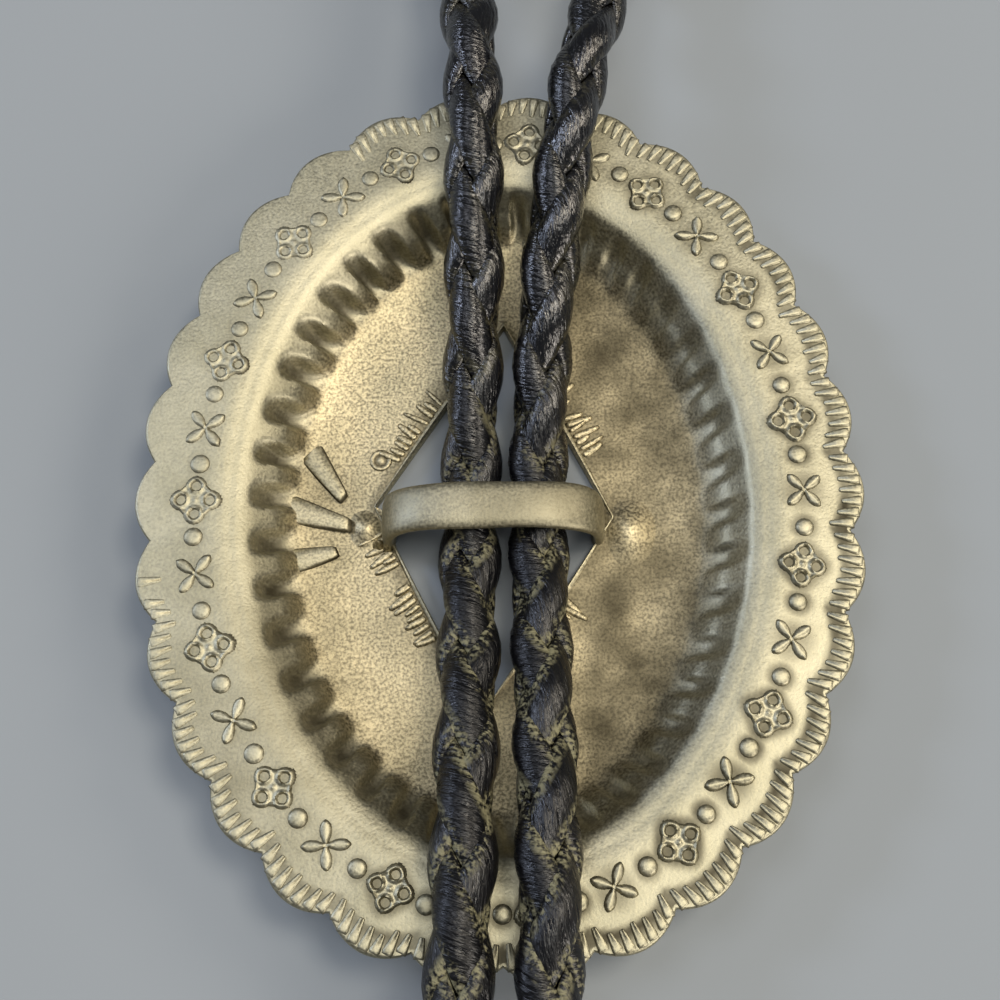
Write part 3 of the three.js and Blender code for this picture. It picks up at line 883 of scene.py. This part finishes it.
def solder_pieces():
    """Each mound is a bell that runs out level with the floor."""
    pieces = []
    rings, sides = 16, 40
    for (mid_x, mid_y), (half_x, half_y), rise, dark in SOLDER:
        points = [(mid_x, mid_y, SHEET + rise)]
        tarnish = [dark]
        for ring in range(1, rings + 1):
            share = ring / rings
            bell = math.cos(math.pi / 2 * share) ** 2.2
            for side in range(sides):
                angle = TURN * side / sides
                uneven = share * (1 + 0.05 * math.sin(2 * angle + mid_x) + 0.03 * math.sin(3 * angle))
                x = mid_x + half_x * uneven * math.cos(angle)
                y = mid_y + half_y * uneven * math.sin(angle)
                points.append((x, y, SHEET - 0.04 + rise * bell))
                # Towards its edge a mound takes the floor's tarnish and painted shade.
                tarnish.append(dark * bell + float(floor_patina_and_shade(x, y)) * (1 - bell))
        last = 1 + (rings - 1) * sides
        points += [(x, y, 0.3) for x, y, z in points[last:]]
        tarnish += tarnish[-sides:]
        faces = [(0, 1 + side, 1 + (side + 1) % sides) for side in range(sides)]
        faces += ring_faces(rings + 1, sides, first=1)
        faces.append(tuple(range(len(points) - 1, len(points) - 1 - sides, -1)))
        mesh = new_mesh("solder", points, faces, tarnish=tarnish, film=np.ones(len(points)))
        smooth_by_angle(mesh, 60)
        pieces.append(new_object("solder", mesh))
    return pieces


def make_concho(metal):
    pieces = [sheet_piece(), *struck_pieces(metal), strap_piece(), *solder_pieces()]
    concho = joined("concho", pieces)
    concho.data.materials.clear()
    concho.data.materials.append(metal)
    concho.data.transform(Matrix.Translation(Vector(CONCHO_AT * MM)))
    seat(concho, "concho_slide", slot="stamped_silver")


# Braid


def route_points():
    """The chosen points of the cord's route, in mm, from the left tip round the neck to the right tip."""
    def placed(row, on_concho):
        x, y, lift = row
        reach = y * HALF_HEIGHT if on_concho else math.copysign(HALF_HEIGHT, y) + y
        return CONCHO_AT + (x, reach, CORD_RADIUS + lift * CORD_RISE)

    def leg(tail, concho, neck):
        stretches = ((tail, False), (concho, True), (neck, False))
        return [placed(row, on_concho) for rows, on_concho in stretches for row in rows]

    left = leg(TAIL_LEFT, CONCHO_LEFT, NECK_LEFT)
    right = leg(TAIL_RIGHT, CONCHO_RIGHT, NECK_RIGHT)
    return np.array([*left, placed(NAPE, False), *reversed(right)])


def smooth_route(points, step):
    """A centripetal Catmull-Rom curve through the points, at even steps along it."""
    ends = [2 * points[0] - points[1], *points, 2 * points[-1] - points[-2]]
    line = []
    for a, b, c, d in zip(ends, ends[1:], ends[2:], ends[3:]):
        gaps = [np.linalg.norm(q - p) ** 0.5 for p, q in ((a, b), (b, c), (c, d))]
        start = ((b - a) / gaps[0] - (c - a) / (gaps[0] + gaps[1]) + (c - b) / gaps[1]) * gaps[1]
        end = ((c - b) / gaps[1] - (d - b) / (gaps[1] + gaps[2]) + (d - c) / gaps[2]) * gaps[1]
        for t in np.linspace(0, 1, 60, endpoint=False):
            line.append((2 * t**3 - 3 * t**2 + 1) * b + (t**3 - 2 * t**2 + t) * start
                        + (3 * t**2 - 2 * t**3) * c + (t**3 - t**2) * end)
    line = np.array([*line, points[-1]])
    length = np.concatenate([[0], np.cumsum(np.linalg.norm(np.diff(line, axis=0), axis=1))])
    at = np.linspace(0, length[-1], int(length[-1] / step) + 1)
    return np.stack([np.interp(at, length, line[:, axis]) for axis in range(3)], -1)


# Radius of the round that a lace is bent over, and the sides of its section.
LACE_BEND = 2.3
LACE_SIDES = 16


def lace_section():
    """The lace's cross-section: an oval strip that is bent to follow the round of the braid."""
    count = LACE_SIDES
    half_width, half_thickness = BRAID["Lace half width"], BRAID["Lace half thickness"]
    points, across = [], []
    for at in range(count):
        angle = TURN * at / count
        side = math.copysign(abs(math.cos(angle)) ** 0.72, math.cos(angle))
        out = math.copysign(abs(math.sin(angle)) ** 0.8, math.sin(angle))
        x = half_width * side
        points.append((half_thickness * out - x * x / (2 * LACE_BEND), x, 0.0))
        across.append(side if out >= -0.01 else 2 * math.copysign(1, side) - side)
    mesh = bpy.data.meshes.new("lace_section")
    edges = [(at, (at + 1) % count) for at in range(count)]
    mesh.from_pydata((np.array(points) * MM).tolist(), edges, [])
    mesh.attributes.new("across", "FLOAT", "POINT").data.foreach_set("value", across)
    return new_object("lace_section", mesh)


def lace_tree():
    """One lace of a round braid of four: it winds round the route, over one lace and under the next."""
    tree, given = new_tree("braided_lace", "Lace", {
        "Route": "Geometry", "Section": "Object", "Pitch": "Float", "Middle radius": "Float",
        "Weave": "Float", "Straightness": "Float", "Hand": "Float", "Start": "Float",
        "Roll at first": "Float", "Roll at last": "Float", "Leather": "Material",
    })
    route = add(tree, "GeometryNodeMeshToCurve", {"Mesh": given["Route"]})
    level = add(tree, "GeometryNodeSetCurveNormal", {"Curve": route[0]}, mode="Z_UP")
    place = add(tree, "GeometryNodeSplineParameter")
    turns = add(tree, "ShaderNodeMath", {0: place["Length"], 1: given["Pitch"]}, operation="DIVIDE")
    signed = add(tree, "ShaderNodeMath", {0: turns[0], 1: given["Hand"]}, operation="MULTIPLY")
    wound = add(tree, "ShaderNodeMath", {0: signed[0], 1: TURN, 2: given["Start"]}, operation="MULTIPLY_ADD")
    roll = add(tree, "ShaderNodeMapRange", {
        "Value": place["Factor"], "From Min": 0.25, "From Max": 0.75,
        "To Min": given["Roll at first"], "To Max": given["Roll at last"],
    }, interpolation_type="SMOOTHSTEP")
    twice = add(tree, "ShaderNodeMath", {0: wound[0], 1: 2.0}, operation="MULTIPLY")
    # A lace runs nearly straight while it shows, and crosses over to its next place while it is hidden.
    lag = add(tree, "ShaderNodeMath", {0: twice[0]}, operation="SINE")
    lag_hand = add(tree, "ShaderNodeMath", {0: lag[0], 1: given["Hand"]}, operation="MULTIPLY")
    lagging = add(tree, "ShaderNodeMath", {0: lag_hand[0], 1: given["Straightness"]}, operation="MULTIPLY")
    held = add(tree, "ShaderNodeMath", {0: wound[0], 1: lagging[0]}, operation="SUBTRACT")
    angle = add(tree, "ShaderNodeMath", {0: held[0], 1: roll["Result"]})
    swing = add(tree, "ShaderNodeMath", {0: twice[0]}, operation="COSINE")
    over = add(tree, "ShaderNodeMath", {0: swing[0], 1: given["Hand"]}, operation="MULTIPLY")
    radius = add(tree, "ShaderNodeMath", {0: over[0], 1: given["Weave"], 2: given["Middle radius"]},
                 operation="MULTIPLY_ADD")
    side = add(tree, "GeometryNodeInputNormal")
    ahead = add(tree, "GeometryNodeInputTangent")
    up = add(tree, "ShaderNodeVectorMath", {0: ahead[0], 1: side[0]}, operation="CROSS_PRODUCT")
    cosine = add(tree, "ShaderNodeMath", {0: angle[0]}, operation="COSINE")
    sine = add(tree, "ShaderNodeMath", {0: angle[0]}, operation="SINE")
    beside = add(tree, "ShaderNodeVectorMath", {0: side[0], "Scale": cosine[0]}, operation="SCALE")
    above = add(tree, "ShaderNodeVectorMath", {0: up[0], "Scale": sine[0]}, operation="SCALE")
    outward = add(tree, "ShaderNodeVectorMath", {0: beside[0], 1: above[0]})
    offset = add(tree, "ShaderNodeVectorMath", {0: outward[0], "Scale": radius[0]}, operation="SCALE")
    kept = add(tree, "GeometryNodeStoreNamedAttribute",
               {"Geometry": level[0], "Name": "outward", "Value": outward[0]}, data_type="FLOAT_VECTOR")
    in_mm = add(tree, "ShaderNodeMath", {0: place["Length"], 1: 1 / MM}, operation="MULTIPLY")
    marked = add(tree, "GeometryNodeStoreNamedAttribute",
                 {"Geometry": kept[0], "Name": "along", "Value": in_mm[0]}, data_type="FLOAT")
    wound_curve = add(tree, "GeometryNodeSetPosition", {"Geometry": marked[0], "Offset": offset[0]})
    stored = add(tree, "GeometryNodeInputNamedAttribute", {"Name": "outward"}, data_type="FLOAT_VECTOR")
    heading = add(tree, "GeometryNodeInputTangent")
    shadow = add(tree, "ShaderNodeVectorMath", {0: stored[0], 1: heading[0]}, operation="DOT_PRODUCT")
    slide = add(tree, "ShaderNodeVectorMath", {0: heading[0], "Scale": shadow["Value"]}, operation="SCALE")
    square = add(tree, "ShaderNodeVectorMath", {0: stored[0], 1: slide[0]}, operation="SUBTRACT")
    facing = add(tree, "ShaderNodeVectorMath", {0: square[0]}, operation="NORMALIZE")
    faced = add(tree, "GeometryNodeSetCurveNormal", {"Curve": wound_curve[0], "Normal": facing[0]},
                mode="FREE")
    outline = add(tree, "GeometryNodeObjectInfo", {"Object": given["Section"]})
    profile = add(tree, "GeometryNodeMeshToCurve", {"Mesh": outline["Geometry"]})
    swept = add(tree, "GeometryNodeCurveToMesh",
                {"Curve": faced[0], "Profile Curve": profile[0], "Fill Caps": True})
    # The sweep leaves every face pointing into the lace.
    outside = add(tree, "GeometryNodeFlipFaces", {"Mesh": swept[0]})
    clean = add(tree, "GeometryNodeRemoveAttribute", {"Geometry": outside[0], "Name": "outward"})
    real = add(tree, "GeometryNodeRealizeInstances", {0: clean[0]})
    leather = add(tree, "GeometryNodeSetMaterial", {"Geometry": real[0], "Material": given["Leather"]})
    add(tree, "NodeGroupOutput", {0: leather[0]})
    return tree


# How the braid lies on the concho: the roll of its over-and-under pattern on each leg.
ROLL_LEFT = math.radians(165)
ROLL_RIGHT = math.radians(240)


def make_braid(leather):
    tree = lace_tree()
    section = lace_section()
    line = smooth_route(route_points(), LACE_STEP) * MM
    edges = [(at, at + 1) for at in range(len(line) - 1)]
    for number, (hand, start) in enumerate(((1, 0), (1, math.pi), (-1, 0), (-1, math.pi)), 1):
        mesh = bpy.data.meshes.new("route")
        mesh.from_pydata(line.tolist(), edges, [])
        lace = run_tree(new_object("route", mesh), tree, f"lace_{number}", **{
            "Section": section, "Pitch": BRAID["Pitch"] * MM,
            "Middle radius": BRAID["Middle radius"] * MM, "Weave": BRAID["Weave"] * MM,
            "Straightness": BRAID["Straightness"], "Hand": float(hand), "Start": float(start),
            "Roll at first": ROLL_LEFT, "Roll at last": ROLL_RIGHT, "Leather": leather,
        })
        smooth_by_angle(lace.data, 60)
        seat(lace, "cord_left", "cord_right", slot="black_leather")
    bpy.data.objects.remove(section)
    return line


# Tips


def tip_profile():
    """Radius and distance from the pointed end, in mm, up the outside and back down the socket."""
    bore = CORD_RADIUS + CLEARANCE
    mouth = bore + TIP_WALL
    floor = TIP_LENGTH - TIP_SOCKET
    outside = [(0.0, 0.0), (0.6, 0.06), (1.1, 0.4), (TIP_END_RADIUS, TIP_END_RADIUS)]
    for share in np.linspace(0.12, 0.88, 6):
        outside.append((TIP_END_RADIUS + (mouth - TIP_END_RADIUS) * share,
                        TIP_END_RADIUS + (floor - TIP_END_RADIUS) * share))
    outside += [(mouth, floor - 0.6), (mouth, floor)]
    rolls = []
    for middle in (TIP_LENGTH - TIP_SOCKET + 1.2, TIP_LENGTH - TIP_ROLL):
        for angle in np.linspace(-math.pi / 2, math.pi / 2, 7):
            rolls.append((mouth + TIP_ROLL * math.cos(angle), middle + TIP_ROLL * math.sin(angle)))
    inside = [(bore, TIP_LENGTH), (bore, floor), (0.0, floor)]
    return [*outside, *rolls, *inside]


TIP_SIDES = 48


def make_tip(name, end, inward, metal):
    """A turned tip on the end of the cord, which points inward from there."""
    sides = TIP_SIDES
    profile = tip_profile()
    points = [(0, 0, profile[0][1])]
    for radius, at in profile[1:-1]:
        points += [(radius * math.cos(TURN * side / sides), radius * math.sin(TURN * side / sides), at)
                   for side in range(sides)]
    points.append((0, 0, profile[-1][1]))
    rings = len(profile) - 2
    last = 1 + (rings - 1) * sides
    faces = ring_faces(rings, sides, first=1, flipped=True)
    for side in range(sides):
        after = (side + 1) % sides
        faces.append((0, 1 + after, 1 + side))
        faces.append((last + side, last + after, len(points) - 1))
    mesh = new_mesh(name, points, faces)
    smooth_by_angle(mesh, 35)
    reach = (TIP_LENGTH - TIP_SOCKET + CLEARANCE) * MM
    turn = Vector((0, 0, 1)).rotation_difference(inward).to_matrix().to_4x4()
    mesh.transform(Matrix.Translation(end - inward * reach) @ turn)
    tip = new_object(name, mesh)
    mesh.materials.append(metal)
    seat(tip, name, slot="tip_metal")


# Finishes


def new_finish(name):
    """A material, its node tree and its shader."""
    finish = bpy.data.materials.new(name)
    finish.use_nodes = True
    return finish, finish.node_tree, finish.node_tree.nodes["Principled BSDF"]


def nickel_silver():
    """Nickel silver sheet, rolled and struck by hand, worn satin and tarnished.

    The eye sees a khaki silver with a fine grain, a golden film in the bowl, brown tarnish in
    every recess and bare bright metal where the sheet is handled. Painted shade darkens the feet
    of the struck marks and the right of the bowl's floor.
    """
    metal, tree, shader = new_finish("tarnished_nickel_silver")
    place = add(tree, "ShaderNodeTexCoord")["Object"]
    tarnish = add(tree, "ShaderNodeAttribute", attribute_name="tarnish")["Fac"]
    film = add(tree, "ShaderNodeAttribute", attribute_name="film")["Fac"]
    # Rolling grain is about 0.3 mm, clouds of tarnish are about 4 mm across.
    grain = add(tree, "ShaderNodeTexNoise", {"Vector": place, "Scale": 4400.0, "Detail": 3.0})["Fac"]
    cloud = add(tree, "ShaderNodeTexNoise", {"Vector": place, "Scale": 240.0, "Detail": 5.0})["Fac"]
    clean = add(tree, "ShaderNodeMix", {"Factor": film, 6: linear("#aba68f"), 7: linear("#bfb392")},
                data_type="RGBA")[2]
    spread = add(tree, "ShaderNodeMapRange", {"Value": cloud, "From Min": 0.35, "From Max": 0.65,
                                              "To Min": 0.0, "To Max": 0.35})["Result"]
    dull = add(tree, "ShaderNodeMix", {"Factor": spread, 6: clean, 7: linear("#8f8a70")},
               data_type="RGBA")[2]
    # The bowl is more strongly speckled than the rim.
    rim_speckle = add(tree, "ShaderNodeMapRange", {"Value": grain, "From Min": 0.3, "From Max": 0.7,
                                                   "To Min": 0.7, "To Max": 1.18})["Result"]
    bowl_speckle = add(tree, "ShaderNodeMapRange", {"Value": grain, "From Min": 0.36, "From Max": 0.64,
                                                    "To Min": 0.42, "To Max": 1.3})["Result"]
    speckle = add(tree, "ShaderNodeMix", {"Factor": film, 2: rim_speckle, 3: bowl_speckle})[0]
    grained = add(tree, "ShaderNodeVectorMath", {0: dull, "Scale": speckle}, operation="SCALE")[0]
    # The attribute turns the metal brown: tarnish in the recesses, and painted shade round the stamps, at
    # the feet of the struck marks and on the right of the floor.
    uneven = add(tree, "ShaderNodeMath", {0: cloud, 1: 1.7}, operation="MULTIPLY")[0]
    dark = add(tree, "ShaderNodeMath", {0: tarnish, 1: uneven}, operation="MULTIPLY", use_clamp=True)[0]
    colour = add(tree, "ShaderNodeMix", {"Factor": dark, 6: grained, 7: linear("#3d372a")},
                 data_type="RGBA")[2]
    tree.links.new(colour, shader.inputs["Base Color"])
    shader.inputs["Metallic"].default_value = 1.0
    rough = add(tree, "ShaderNodeMapRange", {"Value": grain, "From Min": 0.3, "From Max": 0.7,
                                             "To Min": 0.4, "To Max": 0.56})["Result"]
    worn = add(tree, "ShaderNodeMath", {0: dark, 1: 0.25, 2: rough}, operation="MULTIPLY_ADD")[0]
    tree.links.new(worn, shader.inputs["Roughness"])
    texture = add(tree, "ShaderNodeMath", {0: cloud, 1: 4.0, 2: grain}, operation="MULTIPLY_ADD")[0]
    bump = add(tree, "ShaderNodeBump", {"Strength": 0.4, "Distance": 0.00006, "Height": texture})[0]
    tree.links.new(bump, shader.inputs["Normal"])
    return metal


def black_leather():
    """Split leather lace, dyed black and glazed, creased across where it bends in the braid.

    The eye sees a wet black gloss broken by fine cross creases, blue-white where it faces the
    light, and khaki leather on the edges that have rubbed against the bridge.
    """
    leather, tree, shader = new_finish("glazed_black_leather")
    place = add(tree, "ShaderNodeTexCoord")["Object"]
    across = add(tree, "ShaderNodeAttribute", attribute_name="across")["Fac"]
    along = add(tree, "ShaderNodeAttribute", attribute_name="along")["Fac"]
    # Creases are about 0.4 mm apart and cross most of the lace's width.
    slant = add(tree, "ShaderNodeMath", {0: across, 1: 1.3, 2: along}, operation="MULTIPLY_ADD")[0]
    wide = add(tree, "ShaderNodeMath", {0: across, 1: 0.9}, operation="MULTIPLY")[0]
    spot = add(tree, "ShaderNodeCombineXYZ", {"X": wide, "Y": slant})[0]
    stretched = add(tree, "ShaderNodeMapping", {"Vector": spot, "Scale": (1.3, 2.3, 1.0)})[0]
    crease = add(tree, "ShaderNodeTexNoise", {"Vector": stretched, "Scale": 1.0, "Detail": 3.0,
                                              "Roughness": 0.6})["Fac"]
    pores = add(tree, "ShaderNodeTexNoise", {"Vector": place, "Scale": 3200.0, "Detail": 2.0})["Fac"]
    patch = add(tree, "ShaderNodeTexNoise", {"Vector": place, "Scale": 420.0, "Detail": 4.0})["Fac"]
    edge = add(tree, "ShaderNodeMath", {0: across}, operation="ABSOLUTE")[0]
    rubbed_edge = add(tree, "ShaderNodeMapRange",
                      {"Value": edge, "From Min": 0.6, "From Max": 0.92})["Result"]
    # Rubbing is strongest from the bridge down to the tips, and fades out above it.
    height = add(tree, "ShaderNodeSeparateXYZ", {0: place})["Y"]
    bridge_y = (CONCHO_AT[1] + BRIDGE_AT[1]) * MM
    low_down = add(tree, "ShaderNodeMapRange", {
        "Value": height, "From Min": bridge_y + 16 * MM, "From Max": bridge_y - 2 * MM,
        "To Min": 0.12, "To Max": 1.0,
    }, interpolation_type="SMOOTHSTEP")["Result"]
    worn_here = add(tree, "ShaderNodeMath", {0: rubbed_edge, 1: low_down}, operation="MULTIPLY")[0]
    fuzz = add(tree, "ShaderNodeMath", {0: pores, 1: 1.2, 2: patch}, operation="MULTIPLY_ADD")[0]
    ragged = add(tree, "ShaderNodeMath", {0: fuzz, 1: crease}, operation="ADD")[0]
    torn = add(tree, "ShaderNodeMapRange", {"Value": ragged, "From Min": 1.54, "From Max": 1.82})["Result"]
    wear = add(tree, "ShaderNodeMath", {0: worn_here, 1: torn}, operation="MULTIPLY", use_clamp=True)[0]
    dye = add(tree, "ShaderNodeMix", {"Factor": crease, 6: linear("#040405"), 7: linear("#0c0c0f")},
              data_type="RGBA")[2]
    colour = add(tree, "ShaderNodeMix", {"Factor": wear, 6: dye, 7: linear("#7b775c")},
                 data_type="RGBA")[2]
    tree.links.new(colour, shader.inputs["Base Color"])
    gloss = add(tree, "ShaderNodeMapRange", {"Value": crease, "From Min": 0.3, "From Max": 0.7,
                                             "To Min": 0.28, "To Max": 0.07})["Result"]
    dulled = add(tree, "ShaderNodeMath", {0: low_down, 1: 0.14, 2: gloss}, operation="MULTIPLY_ADD")[0]
    rough = add(tree, "ShaderNodeMath", {0: wear, 1: 0.4, 2: dulled}, operation="MULTIPLY_ADD")[0]
    tree.links.new(rough, shader.inputs["Roughness"])
    shader.inputs["IOR"].default_value = 1.5
    shine = add(tree, "ShaderNodeMapRange", {"Value": low_down, "To Min": 0.7, "To Max": 0.4})["Result"]
    tree.links.new(shine, shader.inputs["Specular IOR Level"])
    creased = add(tree, "ShaderNodeBump", {"Strength": 1.0, "Distance": 0.00022, "Height": crease},
                  invert=True)[0]
    bump = add(tree, "ShaderNodeBump", {"Strength": 0.3, "Distance": 0.00005, "Height": pores,
                                        "Normal": creased})[0]
    tree.links.new(bump, shader.inputs["Normal"])
    return leather


def plated_brass():
    """Turned brass with nickel plating: a pale satin metal with fine marks round it."""
    metal, tree, shader = new_finish("nickel_plated_brass")
    place = add(tree, "ShaderNodeTexCoord")["Object"]
    # Turning marks are about 0.2 mm apart along the tip.
    marks = add(tree, "ShaderNodeMapping", {"Vector": place, "Scale": (300.0, 5000.0, 300.0)})[0]
    lines = add(tree, "ShaderNodeTexNoise", {"Vector": marks, "Scale": 1.0, "Detail": 2.0})["Fac"]
    colour = add(tree, "ShaderNodeMix", {"Factor": lines, 6: linear("#aaa48c"), 7: linear("#c8c3ae")},
                 data_type="RGBA")[2]
    tree.links.new(colour, shader.inputs["Base Color"])
    rough = add(tree, "ShaderNodeMapRange", {"Value": lines, "To Min": 0.2, "To Max": 0.36})["Result"]
    tree.links.new(rough, shader.inputs["Roughness"])
    shader.inputs["Metallic"].default_value = 1.0
    return metal


def plain_floor():
    matte, _, shader = new_finish("pale_matte_table")
    shader.inputs["Base Color"].default_value = linear("#898f94")
    shader.inputs["Roughness"].default_value = 0.9
    return matte


# Table, light and camera


TABLE_HALF = 1.5


def make_table():
    """A plain table top, in metres."""
    mesh = bpy.data.meshes.new("table_top")
    corners = [(x * TABLE_HALF, y * TABLE_HALF, 0) for x, y in ((-1, -1), (1, -1), (1, 1), (-1, 1))]
    mesh.from_pydata(corners, [], [(0, 1, 2, 3)])
    mesh.materials.append(plain_floor())
    new_object("table_top", mesh)


def add_light(name, direction, distance, size, power, colour):
    """A square lamp that faces the concho, seen from it in this direction, in metres and watts."""
    lamp = bpy.data.lights.new(name, "AREA")
    lamp.shape = "SQUARE"
    lamp.size = size
    lamp.energy = power
    lamp.color = linear(colour)[:3]
    holder = bpy.data.objects.new(name, lamp)
    bpy.context.scene.collection.objects.link(holder)
    away = Vector(direction).normalized()
    holder.location = Vector(CONCHO_AT * MM) + away * distance
    holder.rotation_euler = away.to_track_quat("Z", "Y").to_euler()


def make_lights():
    add_light("high_window", (0.36, 0.15, 0.9), 0.8, 0.24, 2.9, "#fff4e2")
    add_light("low_window", (0.66, -0.66, 0.42), 0.7, 0.3, 2.9, "#fff6ea")
    add_light("side_window", (0.78, 0.32, 0.55), 0.8, 0.24, 1.35, "#fff3de")
    add_light("overhead_sky", (-0.28, 0.27, 0.92), 0.9, 0.36, 1.5, "#f2f5ff")
    add_light("near_sky", (0.08, -0.12, 1.0), 0.9, 0.3, 2.1, "#fbf8f0")
    add_light("left_sky", (-0.75, 0.3, 0.5), 0.8, 0.16, 1.8, "#d9e5ff")
    add_light("left_glow", (-0.95, 0.1, 0.24), 0.8, 0.2, 0.85, "#dbe6ff")
    world = bpy.data.worlds.new("soft_room")
    bpy.context.scene.world = world
    world.use_nodes = True
    back = world.node_tree.nodes["Background"]
    back.inputs["Color"].default_value = linear("#b8bec6")
    back.inputs["Strength"].default_value = 0.24
    bpy.context.scene.view_settings.view_transform = "Standard"


# The camera, measured from the middle of the concho's rim: distance and offsets in mm, angles in radians.
CAMERA_DISTANCE = 110.0
CAMERA_OFFSET = (0.153, -0.383)
CAMERA_PITCH = -0.31016
CAMERA_ROLL = -0.01546
CAMERA_SWING = 0.0106
CAMERA_LENS = 49.94


def make_camera():
    turned = (Matrix.Rotation(CAMERA_SWING, 3, "Z") @ Matrix.Rotation(CAMERA_PITCH, 3, "X")
              @ Matrix.Rotation(CAMERA_ROLL, 3, "Y")).transposed()
    aim = Vector(CONCHO_AT) + Vector((0, 0, RIM_TOP))
    spot = aim + turned @ Vector((*CAMERA_OFFSET, CAMERA_DISTANCE))
    data = bpy.data.cameras.new("camera")
    data.sensor_width = 36.0
    data.lens = CAMERA_LENS
    data.clip_start = 0.005
    camera = bpy.data.objects.new("camera", data)
    bpy.context.scene.collection.objects.link(camera)
    camera.matrix_world = Matrix.Translation(spot * MM) @ turned.to_4x4()
    bpy.context.scene.camera = camera


make_camera()
make_lights()
make_table()
cord_line = make_braid(black_leather())
make_concho(nickel_silver())
plating = plated_brass()
make_tip("tip_left", Vector(cord_line[0]), Vector(cord_line[1] - cord_line[0]).normalized(), plating)
make_tip("tip_right", Vector(cord_line[-1]), Vector(cord_line[-2] - cord_line[-1]).normalized(), plating)
